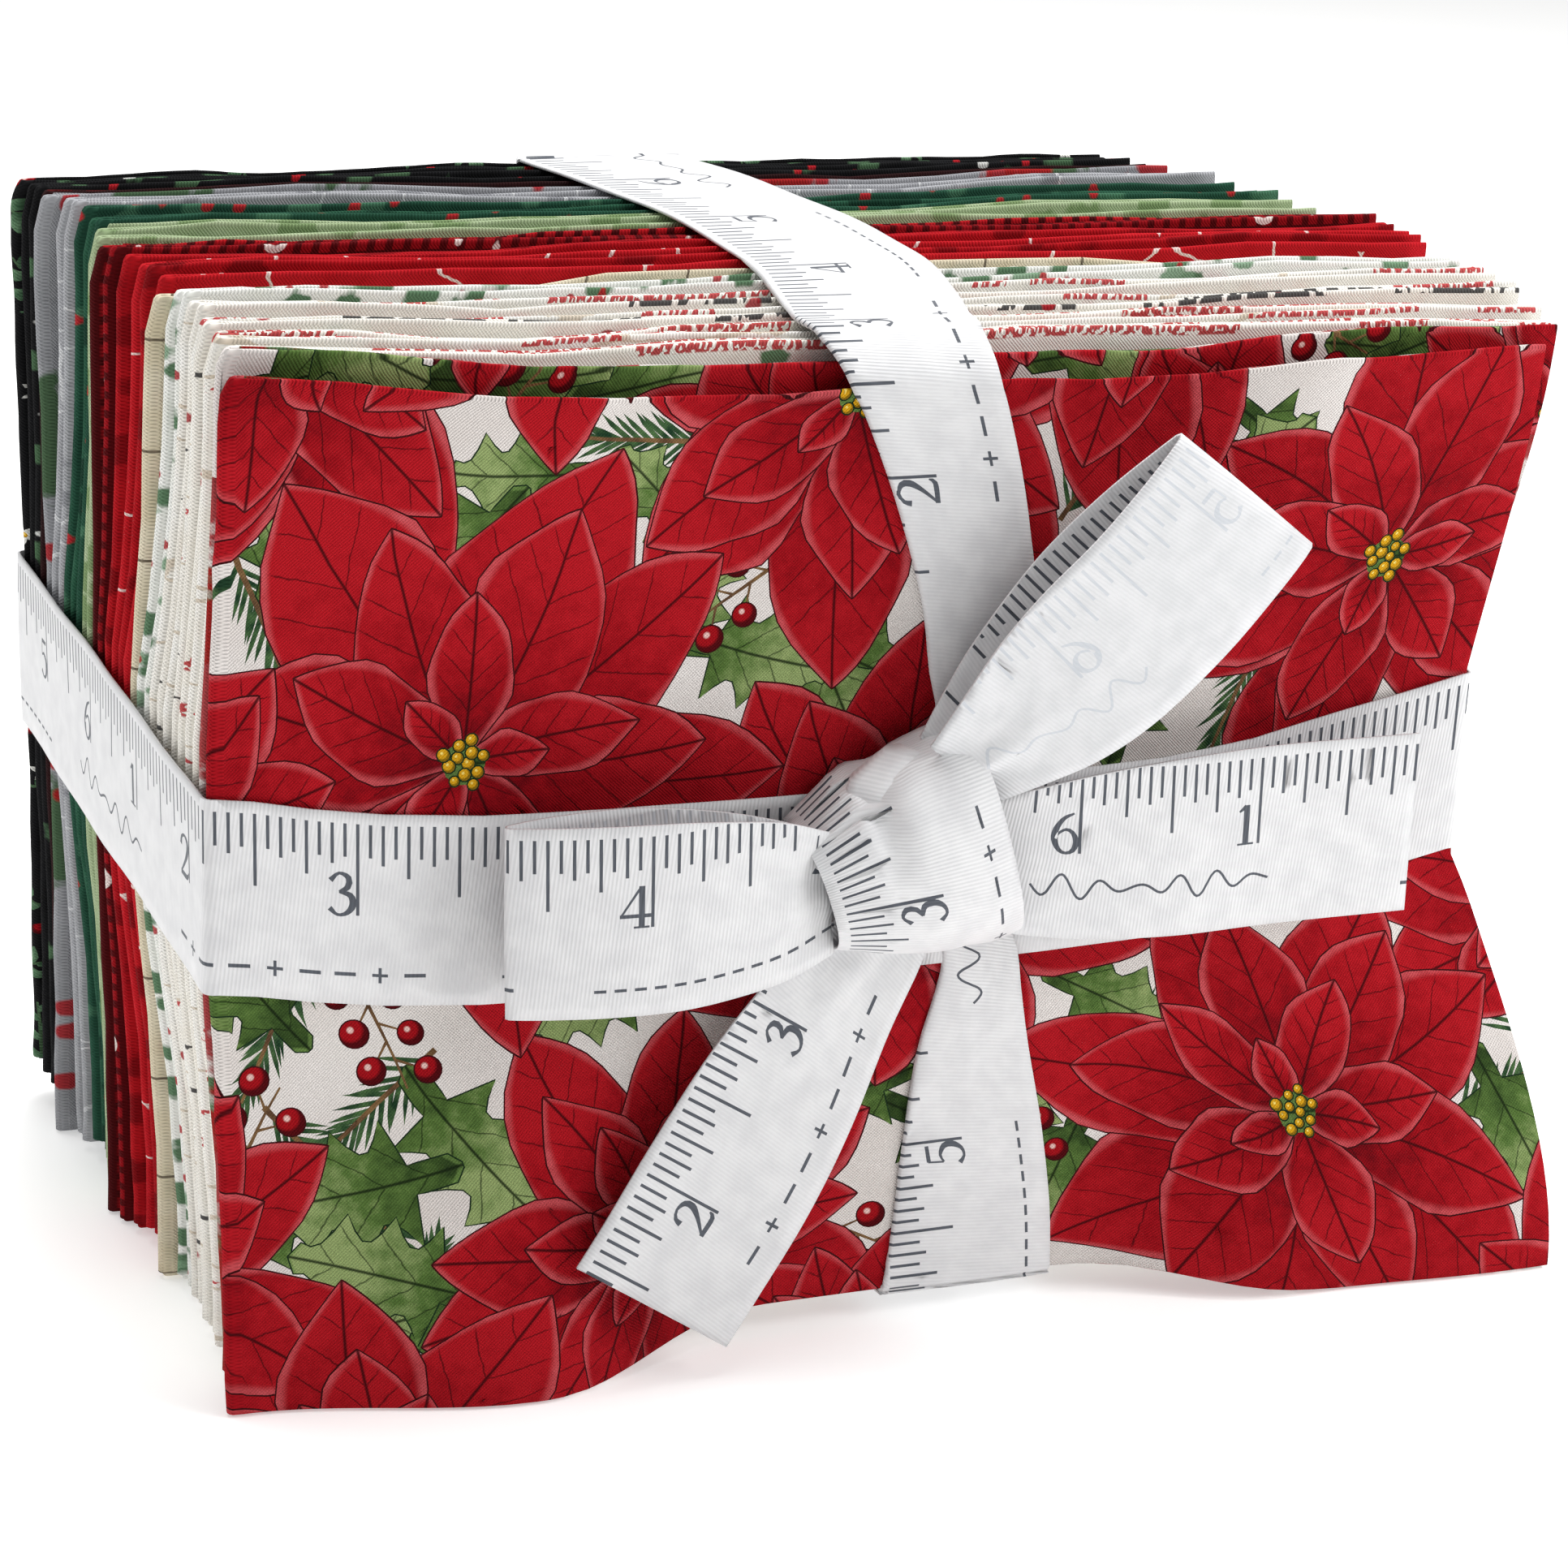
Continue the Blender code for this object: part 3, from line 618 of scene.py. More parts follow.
def printedCloth(index, layout, vFrom, inks):
    flat, triangles, shows = printedPanel(layout, vFrom)
    whole, otherFaces = clothGrid(sorted({*shares["across"], *shares["bends"]}), len(flat), vFrom)
    flat, faces = usedOnly(np.vstack((flat, whole)), triangles + otherFaces)
    points = toWorld(foldPoints(flat[:, 0], flat[:, 1], index))
    piece = meshObject("fatQuarter%02d" % (index + 1), points, faces, flat * mm, fold["cloth"])
    mesh = piece.data

    # what each corner is in its own motif: along, across and tone, and the motif's length and half width
    owner = np.array(shows, dtype=int)
    corners = flat[np.array(faces[:len(shows)])]
    frames = np.array(layout.frames + [(0, 0, 1, 0, 0, 1, 1, 0.5)])[owner]
    frames = np.repeat(frames[:, None, :], 3, axis=1)
    x, z, cosine, sine, bend, length, half, tone = np.moveaxis(frames, -1, 0)
    px = fold["faceWidth"] / 2 - corners[..., 0] - x
    pz = corners[..., 1] - z
    along = px * cosine + pz * sine
    across = pz * cosine - px * sine - bend * (along / length) ** 2 * length
    for name, values, rest in (("motifPlace", (along, across, tone), 0.0),
                               ("motifSize", (length, half, np.ones_like(half)), 1.0)):
        spread = np.full((len(mesh.loops), 3), rest, dtype=np.float32)
        spread[:len(shows) * 3] = np.stack(values, axis=-1).reshape(-1, 3)
        layer = mesh.attributes.new(name, "FLOAT_VECTOR", "CORNER")
        layer.data.foreach_set("vector", spread.ravel())
    slots = np.full(len(mesh.polygons), printLooks.index("hidden"), dtype=np.int32)
    lookOf = [printLooks.index(look) for look in layout.looks] + [0]
    slots[:len(shows)] = np.array(lookOf)[owner]
    for look in printLooks:
        mesh.materials.append(inks.get(look, printInks[look]))
    mesh.polygons.foreach_set("material_index", slots)
    print(piece.name, "printed with", len(shows), "triangles")
    return piece


# Quilting cotton, printed with pigment: matt, with a fine plain weave that breaks up each colour.
cotton = {
    "threads": 0.46,           # mm from thread to thread; the real 0.3 mm is too fine to show
    "threadHeight": 0.09,
    "threadShade": 0.2,
    "roughness": 0.88,
    "specular": 0.07,          # dyed cotton hardly glints
}


def clothMaterial(name, roughness, specular, ground="#ffffff"):
    # returns the material, its tree, the cloth's own place in metres and the shader
    material = bpy.data.materials.new(name)
    material.use_nodes = True
    tree = material.node_tree
    shader = tree.nodes["Principled BSDF"]
    shader.inputs["Base Color"].default_value = linearColour(ground)
    shader.inputs["Roughness"].default_value = roughness
    shader.inputs["Specular IOR Level"].default_value = specular
    return material, tree, addNode(tree, "UVMap", uv_map="clothUv"), shader


def cottonMaterial(name, ground):
    return clothMaterial(name, cotton["roughness"], cotton["specular"], ground)


def weave(tree, place, shader, colour):
    # over and under threads, as a bump and as painted shade that darkens the colour where the threads dip
    turns = 2 * math.pi / (cotton["threads"] * mm)
    split = addNode(tree, "SeparateXYZ", place).node
    waves = []
    for side in "XY":
        scaled = addNode(tree, "Math", split.outputs[side], turns, operation="MULTIPLY")
        waves.append(addNode(tree, "Math", scaled, operation="SINE"))
    threads = addNode(tree, "Math", *waves, operation="MULTIPLY")
    shade = addNode(tree, "MapRange", threads, -1.0, 1.0, 1 - cotton["threadShade"], 1.0)
    shaded = addNode(tree, "VectorMath", {0: colour, "Scale": shade}, operation="SCALE")
    tree.links.new(shaded, shader.inputs["Base Color"])
    height = cotton["threadHeight"] * mm
    bump = addNode(tree, "Bump", {"Height": threads, "Distance": height, "Strength": 0.8})
    tree.links.new(bump, shader.inputs["Normal"])


def petalOrLeafInk(name, tones, rimColour, veinColour, veins, rimWidth):
    material, tree, place, shader = cottonMaterial(name, tones[1])
    motif = [addNode(tree, "Attribute", attribute_name=k, give="Vector") for k in ("motifPlace", "motifSize")]
    spot, size = (addNode(tree, "SeparateXYZ", vector).node for vector in motif)
    along, across, tone = spot.outputs
    length, half = size.outputs[:2]
    # the same outline as the mesh has, to tell how far a spot is from the rim
    p = addNode(tree, "Math", along, length, operation="DIVIDE", use_clamp=True)
    side = addNode(tree, "Math", across, operation="ABSOLUTE")
    rest = addNode(tree, "Math", 1.0, p, operation="SUBTRACT", use_clamp=True)
    rise = addNode(tree, "Math", p, petalForm["rise"], operation="POWER")
    fall = addNode(tree, "Math", rest, petalForm["fall"], operation="POWER")
    width = addNode(tree, "Math", rise, fall, operation="MULTIPLY")
    width = addNode(tree, "Math", width, half, operation="MULTIPLY")
    width = addNode(tree, "Math", width, petalForm["peak"], operation="MULTIPLY")
    fromRim = addNode(tree, "Math", width, side, operation="SUBTRACT")
    cloud = addNode(tree, "TexNoise", {"Vector": place, "Scale": 330.0, "Detail": 5.0, "Roughness": 0.62})
    # darker at the root, brighter towards the middle, mottled like a wash of dye
    value = addNode(tree, "Math", cloud, 1.1, -0.5, operation="MULTIPLY_ADD")
    value = addNode(tree, "Math", value, p, operation="ADD")
    value = addNode(tree, "Math", tone, 0.25, value, operation="MULTIPLY_ADD")
    colour = addNode(tree, "ValToRGB", value, stops=(
        (0.0, tones[0]), (1.0, tones[3]), (0.3, tones[1]), (0.62, tones[2])))
    # the pale rim
    rim = addNode(tree, "MapRange", fromRim, rimWidth, 0.0, 0.0, 0.85, interpolation_type="SMOOTHSTEP")
    rim = addNode(tree, "Math", rim, cloud, operation="MULTIPLY")
    rim = addNode(tree, "Math", rim, 1.7, operation="MULTIPLY", use_clamp=True)
    colour = addNode(tree, "Mix", {0: rim, 6: colour, 7: linearColour(rimColour)}, give=2, data_type="RGBA")
    # midrib and side veins that lean towards the tip
    midrib = addNode(tree, "MapRange", side, 0.3, 0.08, 0.0, 0.9)
    lean = addNode(tree, "Math", side, -1.05, along, operation="MULTIPLY_ADD")
    lean = addNode(tree, "Math", cloud, 1.6, lean, operation="MULTIPLY_ADD")
    count = addNode(tree, "Math", lean, length, operation="DIVIDE")
    count = addNode(tree, "Math", count, float(veins), operation="MULTIPLY")
    near = addNode(tree, "Math", count, 0.5, operation="PINGPONG")
    near = addNode(tree, "Math", near, length, operation="MULTIPLY")
    sideVein = addNode(tree, "MapRange", near, 0.2 * veins, 0.05 * veins, 0.0, 0.75)
    edge = addNode(tree, "MapRange", fromRim, 0.3, 2.0, 0.0, 1.0)
    sideVein = addNode(tree, "Math", sideVein, edge, operation="MULTIPLY")
    vein = addNode(tree, "Math", sideVein, midrib, operation="MAXIMUM")
    colour = addNode(tree, "Mix", {0: vein, 6: colour, 7: linearColour(veinColour)}, give=2, data_type="RGBA")
    weave(tree, place, shader, colour)
    return material


def ballInk(name, dark, middle, glint):
    # a round berry or pollen grain: dark edge and a small light spot up on the left
    material, tree, place, shader = cottonMaterial(name, middle)
    spot = addNode(tree, "Attribute", attribute_name="motifPlace", give="Vector")
    size = addNode(tree, "Attribute", attribute_name="motifSize", give="Vector")
    spot = addNode(tree, "VectorMath", spot, size, operation="DIVIDE")
    spot = addNode(tree, "VectorMath", spot, (1.0, 1.0, 0.0), operation="MULTIPLY")
    away = addNode(tree, "VectorMath", spot, (-0.25, 0.3, 0.0), operation="DISTANCE", give="Value")
    colour = addNode(tree, "ValToRGB", away, stops=(
        (0.0, glint), (1.0, dark), (0.16, glint), (0.3, middle), (0.75, middle)))
    weave(tree, place, shader, colour)
    return material


def plainInk(name, first, second, scale=400.0):
    # one colour, mottled towards another
    material, tree, place, shader = cottonMaterial(name, first)
    cloud = addNode(tree, "TexNoise", {"Vector": place, "Scale": scale, "Detail": 4.0})
    weave(tree, place, shader, addNode(tree, "ValToRGB", cloud, stops=((0.35, first), (0.7, second))))
    return material


printInks = {
    "ground": plainInk("printedCottonGround", "#ebe5e1", "#e0d8d3", 60.0),
    "petal": petalOrLeafInk("printedCottonPetal", ("#45030b", "#780612", "#9c0c18", "#b51722"), "#d05a60",
                            "#3a050b", 6, 1.25),
    "leaf": petalOrLeafInk("printedCottonLeaf", ("#22331a", "#3a5226", "#587539", "#95a86c"), "#6b8a48",
                           "#16240f", 5, 0.6),
    "needle": plainInk("printedCottonNeedle", "#1d3a26", "#527346", 500.0),
    "stem": plainInk("printedCottonStem", "#5d4330", "#8a6a45"),
    "berry": ballInk("printedCottonBerry", "#52060d", "#a30f19", "#ecc4bd"),
    "pollen": ballInk("printedCottonPollen", "#8b6a12", "#d9a31d", "#f7e07a"),
    "petalInk": plainInk("printedCottonPetalLine", "#35090d", "#4a1216"),
    "leafInk": plainInk("printedCottonLeafLine", "#14281a", "#22391f"),
}

# The other prints. Each has its ground, what the ground is mottled towards, and layers of small motifs:
# kind, colour, mm from one to the next, size in mm, stretch along the cloth, and the share that is there.
smallPrints = {
    "creamWords": ("#fbf8f1", "#f6f1e6", (
        ("words", "#b8161f", 5.82, 1.7, 1.0, 0.4), ("leaves", "#4d7f52", 9.0, 1.1, 2.2, 0.2))),
    "creamPlain": ("#fbf9f4", "#f4efe5", (("grain", "#d9ccba", 9.0, 0.3, 7.0, 1.0),
                                          ("words", "#c0262e", 5.82, 0.7, 1.0, 0.2))),
    "creamCheck": ("#faf7f0", "#f4efe5", (
        ("words", "#26262a", 5.82, 0.6, 1.8, 0.34), ("dots", "#a81f29", 6.4, 0.7, 1.6, 0.3))),
    "whiteHolly": ("#f8f8f4", "#eff0e9", (
        ("leaves", "#3f6f45", 5.2, 1.5, 1.5, 0.6), ("leaves", "#7fa182", 6.1, 1.2, 1.8, 0.4),
        ("dots", "#b01f28", 4.4, 0.6, 1.0, 0.35))),
    "beigePlaid": ("#e6dcc4", "#dccfb2", (("plaid", "#6a5f50", 14.0, 0.35, 1.0, 1.0),)),
    "redScroll": ("#b8161f", "#c81e28", (("scroll", "#f0ded8", 9.0, 0.32, 1.6, 0.5),)),
    "redTone": ("#bb1720", "#a1101a", (("leaves", "#7e0a12", 7.0, 2.0, 1.4, 0.8),)),
    "redRings": ("#9c101a", "#880d16", (
        ("plaid", "#4d070c", 2.4, 1.0, 1.0, 1.0), ("rings", "#efe2dc", 11.0, 1.6, 1.0, 0.55),
        ("dots", "#efe2dc", 5.2, 0.5, 1.0, 0.4))),
    "redCheck": ("#b8161f", "#a7131d", (("plaid", "#3a0a0d", 2.6, 1.1, 1.0, 1.0),)),
    "sage": ("#b2c29d", "#a1b48a", (("leaves", "#7f9868", 6.5, 1.9, 1.5, 0.7),)),
    "forest": ("#2b5643", "#224838", (
        ("leaves", "#47745a", 6.0, 1.6, 1.4, 0.6), ("dots", "#b3222a", 4.6, 0.75, 1.2, 0.4),
        ("dots", "#e4e6df", 7.5, 0.5, 2.0, 0.3))),
    "forestTone": ("#2f5d47", "#25503c", (("leaves", "#16382a", 6.0, 2.0, 1.5, 0.8),)),
    "silver": ("#b4b5b9", "#a7a8ac", (
        ("leaves", "#8f9095", 6.5, 1.5, 1.6, 0.6), ("scroll", "#d4d5d7", 8.0, 0.3, 1.4, 0.4))),
    "greyHolly": ("#a5a6aa", "#97989c", (
        ("leaves", "#3c5c38", 24.0, 7.5, 1.0, 0.8), ("leaves", "#a9161f", 27.0, 6.5, 1.0, 0.7),
        ("dots", "#a9161f", 9.0, 1.3, 1.0, 0.35))),
    "redBlack": ("#7c0d13", "#5f090e", (("plaid", "#1c1415", 5.0, 2.3, 1.0, 1.0),)),
    "blackSprig": ("#1c1c1e", "#141415", (
        ("leaves", "#4c6b4d", 6.5, 1.5, 1.5, 0.5), ("dots", "#b52029", 6.8, 0.7, 1.0, 0.4),
        ("dots", "#dedfdb", 6.2, 0.42, 2.2, 0.35))),
}


def smallPrint(name, look):
    ground, mottle, layers = look
    material, tree, place, shader = cottonMaterial(name, ground)
    cloud = addNode(tree, "TexNoise", {"Vector": place, "Scale": 160.0, "Detail": 4.0})
    colour = addNode(tree, "ValToRGB", cloud, stops=((0.35, ground), (0.65, mottle)))
    warp = addNode(tree, "TexNoise", {"Vector": place, "Scale": 420.0, "Detail": 2.0}, give="Color")
    for kind, ink, cell, size, stretch, share in layers:
        # the cloth in cells, drawn out along its length
        cells = (1 / (cell * stretch * mm), 1 / (cell * mm), 1.0)
        scaled = addNode(tree, "VectorMath", place, cells, operation="MULTIPLY")
        if kind in ("leaves", "scroll", "grain"):
            bend = (0.9 if kind == "leaves" else 1.6) * min(1.0, size / cell * 2)
            push = addNode(tree, "VectorMath", {0: warp, "Scale": bend}, operation="SCALE")
            scaled = addNode(tree, "VectorMath", scaled, push, operation="ADD")
        there = None
        if kind == "words":
            # rows of short pen-like strokes in runs, with gaps between them
            split = addNode(tree, "SeparateXYZ", place).node
            rows = addNode(tree, "Math", split.outputs["Y"], cell * mm, operation="DIVIDE")
            away = addNode(tree, "Math", rows, 0.5, operation="PINGPONG")
            away = addNode(tree, "Math", 0.5, away, operation="SUBTRACT")
            strokes = addNode(tree, "TexNoise", {"Vector": place, "Scale": 1300.0 / stretch, "Detail": 1.0},
                              noise_dimensions="2D")
            strokes = addNode(tree, "Math", strokes, 0.47, operation="GREATER_THAN")
            line = addNode(tree, "Math", rows, operation="FLOOR")
            spot = addNode(tree, "CombineXYZ", split.outputs["X"], line)
            spot = addNode(tree, "VectorMath", spot, (70.0 / stretch, 3.7, 1.0), operation="MULTIPLY")
            gaps = addNode(tree, "TexNoise", {"Vector": spot, "Scale": 1.0, "Detail": 0.0},
                           noise_dimensions="2D")
            gaps = addNode(tree, "Math", gaps, 0.3 + 0.4 * share, operation="LESS_THAN")
            there = addNode(tree, "Math", strokes, gaps, operation="MULTIPLY")
        elif kind == "plaid":
            split = addNode(tree, "SeparateXYZ", scaled).node
            near = [addNode(tree, "Math", split.outputs[k], 0.5, operation="PINGPONG") for k in "XY"]
            away = addNode(tree, "Math", *near, operation="MINIMUM")
        elif kind in ("scroll", "grain"):
            away = addNode(tree, "TexVoronoi", {"Vector": scaled, "Scale": 1.0}, voronoi_dimensions="2D",
                           feature="DISTANCE_TO_EDGE", give="Distance")
            patches = addNode(tree, "TexNoise", {"Vector": scaled, "Scale": 0.9, "Detail": 0.0})
            there = addNode(tree, "Math", patches, 0.35 + share * 0.3, operation="LESS_THAN")
        else:
            away = addNode(tree, "TexVoronoi", {"Vector": scaled, "Scale": 1.0, "Randomness": 0.85},
                           voronoi_dimensions="2D")
            chance = addNode(tree, "SeparateXYZ", away.node.outputs["Color"])
            there = addNode(tree, "Math", chance, share, operation="LESS_THAN")
            if kind == "rings":
                away = addNode(tree, "Math", away, size / cell, operation="SUBTRACT")
                away = addNode(tree, "Math", away, operation="ABSOLUTE")
        reach = (0.3 if kind == "rings" else size / (1 if kind in ("leaves", "dots") else 2)) / cell
        mask = addNode(tree, "MapRange", away, reach * 1.15, reach * 0.85, 0.0, 0.92)
        if there is not None:
            mask = addNode(tree, "Math", mask, there, operation="MULTIPLY")
        colour = addNode(tree, "Mix", {0: mask, 6: colour, 7: linearColour(ink)}, give=2, data_type="RGBA")
    weave(tree, place, shader, colour)
    return material


printInks["hidden"] = smallPrint("printedCottonOtherLayers", ("#e3dcd7", "#d9d0ca", (
    ("leaves", "#3f6a38", 19.0, 7.0, 1.4, 0.5), ("leaves", "#a00d18", 17.0, 8.5, 1.5, 0.85))))
cottons = {name: smallPrint("quiltingCotton" + name[0].upper() + name[1:], look)
           for name, look in smallPrints.items()}
sprigInks = {
    "ground": plainInk("printedBlackCottonGround", "#1b1b1d", "#131314", 160.0),
    "leaf": plainInk("printedBlackCottonLeaf", "#3f6145", "#6f9270", 500.0),
    "stem": plainInk("printedBlackCottonStem", "#54704f", "#3f5b41", 500.0),
    "petal": plainInk("printedBlackCottonBud", "#e9e8e2", "#cfcfc9", 500.0),
    "hidden": cottons["blackSprig"],
}
for index, cut in enumerate(cuts):
    if index == 0:
        piece = printedCloth(0, layOutFlowers(flowerPrint), 0.0, {})
    elif index == 1:
        piece = printedCloth(1, layOutFlowers(topStrip), 116.0, {})
    elif index == len(cuts) - 1:
        piece = printedCloth(index, layOutSprigs(), 0.0, sprigInks)
    else:
        piece = foldedCloth(index)
        piece.data.materials.append(cottons[cut[4]])
    node = "fat_quarter_%02d" % (index + 1)
    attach(piece, "root")
    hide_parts(node)
print("cloth folded")


ribbon = {
    "width": 24.5,
    "cloth": 0.34,
    "overStack": -51.2,      # y of the band that lies on the front
    "overBand": -51.85,      # and of the one that crosses it
    "backOfStack": 50.85,
    "beside": 0.35,          # how far the level band stands off the sides
    "corner": 1.3,           # reach of its bend round a corner
    "step": 1.3,
    "edgeDrop": 0.55,        # how far back the edge lies that is turned under
    "slack": 0.4,            # how high its slow waves lift it
}


def smoothRows(rows, step):
    # a smooth run through the rows, with as many steps as its length asks for
    rows = np.asarray(rows, dtype=float)
    rows = np.vstack((2 * rows[0] - rows[1], rows, 2 * rows[-1] - rows[-2]))
    run = []
    for p0, p1, p2, p3 in zip(rows, rows[1:], rows[2:], rows[3:]):
        count = max(2, int(np.linalg.norm((p2 - p1)[:3]) / step + 0.5))
        for k in range(count):
            t = k / count
            run.append(0.5 * (2 * p1 + (p2 - p0) * t + (2 * p0 - 5 * p1 + 4 * p2 - p3) * t ** 2
                              + (3 * p1 - p0 - 3 * p2 + p3) * t ** 3))
    run.append(rows[-2])
    return np.array(run)


def wayAlong(points):
    return np.concatenate(([0], np.cumsum(np.linalg.norm(np.diff(points, axis=0), axis=1))))


def ribbonGrid(rows, across, outward, curl=0.0, pleat=0.0, phase=0.0):
    # Points over a ribbon that follows the rows (x, y, z, width). Where it is drawn narrow, part of its
    # ticked edge curls under and the rest lies in soft pleats.
    centres, width, full = rows[:, :3], rows[:, 3:4], ribbon["width"]
    across = np.broadcast_to(unit(across), centres.shape)
    out = unit(np.cross(across, unit(np.gradient(centres, axis=0))))
    if np.dot(out[0], outward) < 0:
        out = -out
    under = np.minimum(full - width, 0.8 * width) * curl
    total = width + under
    q = np.linspace(0, 1, 15)[None, :] * total
    if curl:
        # some columns keep to the folded edge
        edge = np.maximum(under, 0.8)
        rest = edge + 0.3 + (total - edge - 0.3) * np.linspace(0, 1, 11)
        q = np.hstack((0 * edge, edge / 2, edge - 0.3, edge, rest))
    c = q / total
    a = np.abs(q - under) - width / 2
    inside = np.clip((q - under + 0.35) / 0.7, 0, 1)
    n = -ribbon["edgeDrop"] * (1 - inside * inside * (3 - 2 * inside)) * (under > 0.05)
    gather = 1 - width / full
    n = n + pleat * gather * (np.sin(c * 4 * math.pi + phase) + 0.4 * np.sin(c * 7 * math.pi + 2 * phase))
    # slow waves lift the tape a little here and there
    way = wayAlong(centres)[:, None]
    wave = np.sin(way / 6.1 + 2.3 * c + phase) * np.sin(way / 17.0 - 1.4 * c + 1.0)
    n = n + ribbon["slack"] * (0.5 + 0.5 * wave)
    points = centres[:, None, :] + across[:, None, :] * a[..., None] + out[:, None, :] * n[..., None]
    return points, full - total + q


# A tape measure's marks: sixteenths of an inch along one edge, and numerals from 1 to 6 over and over.
# Along the other edge lie a sewn zigzag, small crosses and dashes, each once in six inches.
tapeMarks = {
    "inch": 25.4,
    "line": 0.42,
    "lineStart": 1.4,          # bare edge before the lines, in mm
    "lineLengths": (11.6, 9.0, 6.7, 5.1, 4.2),      # inch, half, quarter, eighth, sixteenth
    "numeralHeight": 5.4,
    "numeralTop": 7.6,
    "numeralAhead": 4.6,       # from a numeral's left side to its inch line
    # from is in inches along the six; across is the place between the tape's edges in mm
    "zigzag": {"from": 5.75, "across": 17.6, "reach": 1.7, "length": 34, "line": 0.34},
    "crosses": {"from": 1.9, "across": 20.6, "step": 4.4, "count": 9},
    "dashes": {"from": 3.75, "across": 21.0, "step": 2.5, "count": 14},
    # strokes of each numeral in a box one unit high: x, y, width
    "numerals": (
        (((.30, .84, .05), (.48, .97, .12)), ((.5, 1, .16), (.5, .5, .16), (.5, 0, .16)),
         ((.28, .02, .05), (.72, .02, .05))),
        (((.2, .70, .15), (.25, .88, .10), (.45, .98, .07), (.67, .89, .14), (.7, .68, .17), (.52, .4, .11),
          (.2, .06, .06)), ((.18, .06, .12), (.68, .06, .12), (.78, .2, .05))),
        (((.22, .8, .13), (.42, .98, .07), (.64, .88, .14), (.62, .66, .14), (.42, .54, .06)),
         ((.42, .54, .06), (.68, .47, .14), (.74, .25, .17), (.6, .05, .11), (.38, 0, .07), (.2, .15, .13))),
        (((.6, 1, .14), (.6, .5, .14), (.6, 0, .14)), ((.58, .98, .06), (.13, .3, .05)),
         ((.1, .29, .09), (.85, .29, .09)), ((.42, .02, .05), (.78, .02, .05))),
        (((.3, .94, .11), (.74, .95, .1)), ((.3, .96, .05), (.27, .55, .05)),
         ((.27, .54, .05), (.46, .62, .08), (.7, .5, .15), (.74, .28, .17), (.6, .05, .1), (.38, 0, .07),
          (.2, .13, .13))),
        (((.7, .98, .05), (.44, .84, .1), (.25, .56, .15), (.21, .3, .17), (.32, .07, .11), (.5, 0, .07),
          (.68, .08, .12), (.76, .3, .16), (.67, .5, .11), (.5, .57, .07), (.3, .45, .06), (.24, .33, .06)),),
    ),
}


def strokeOutline(stroke, fine):
    # a pen stroke with its own width at each point
    rows = np.array([(x, y, 0.0, width) for x, y, width in stroke])
    if len(rows) > 2:
        rows = smoothRows(rows, fine)
    run = unit(np.gradient(rows[:, :2], axis=0))
    side = np.stack((-run[:, 1], run[:, 0]), axis=-1) * rows[:, 3:4] / 2
    return np.vstack((rows[:, :2] + side, (rows[:, :2] - side)[::-1]))


def bar(s, t, halfLength, halfWidth):
    # a straight mark round its middle
    return np.array(((s - halfLength, t - halfWidth), (s + halfLength, t - halfWidth),
                     (s + halfLength, t + halfWidth), (s - halfLength, t + halfWidth)))


def tapeOutlines(s0, s1):
    # every mark between two places along the tape
    marks = []
    inch, top, height = (tapeMarks[k] for k in ("inch", "numeralTop", "numeralHeight"))
    for k in range(int(s0 / inch * 16) - 1, int(s1 / inch * 16) + 2):
        s = k * inch / 16
        level = next(j for j, step in enumerate((16, 8, 4, 2, 1)) if k % step == 0)
        reach = tapeMarks["lineLengths"][level] / 2
        marks.append(bar(s, tapeMarks["lineStart"] + reach, tapeMarks["line"] / 2, reach))
        if level == 0:
            for stroke in tapeMarks["numerals"][(k // 16 - 1) % 6]:
                outline = strokeOutline(stroke, 0.09) * height
                marks.append(outline * (1, -1) + (s - tapeMarks["numeralAhead"], top + height))
    zigzag, crosses, dashes = (tapeMarks[k] for k in ("zigzag", "crosses", "dashes"))
    for lap in range(int(s0 / inch / 6) - 1, int(s1 / inch / 6) + 2):
        base = lap * 6 * inch
        wave = []
        for x in np.arange(0, zigzag["length"], 0.7):
            swing = zigzag["reach"] * math.sin(x * 1.15) * (0.6 + 0.4 * math.sin(x / 3))
            wave.append((base + zigzag["from"] * inch + x, zigzag["across"] + swing, zigzag["line"]))
        marks.append(strokeOutline(wave, 0.35))
        for k in range(crosses["count"]):
            s = base + crosses["from"] * inch + crosses["step"] * k
            # every third is a cross of two bars
            for halves in (((1.0, 0.2), (0.2, 1.0)) if k % 3 == 1 else ((1.35, 0.24),)):
                marks.append(bar(s, crosses["across"], *halves))
        for k in range(dashes["count"]):
            s = base + dashes["from"] * inch + dashes["step"] * k
            marks.append(bar(s, dashes["across"], 0.75, 0.2))
    return marks


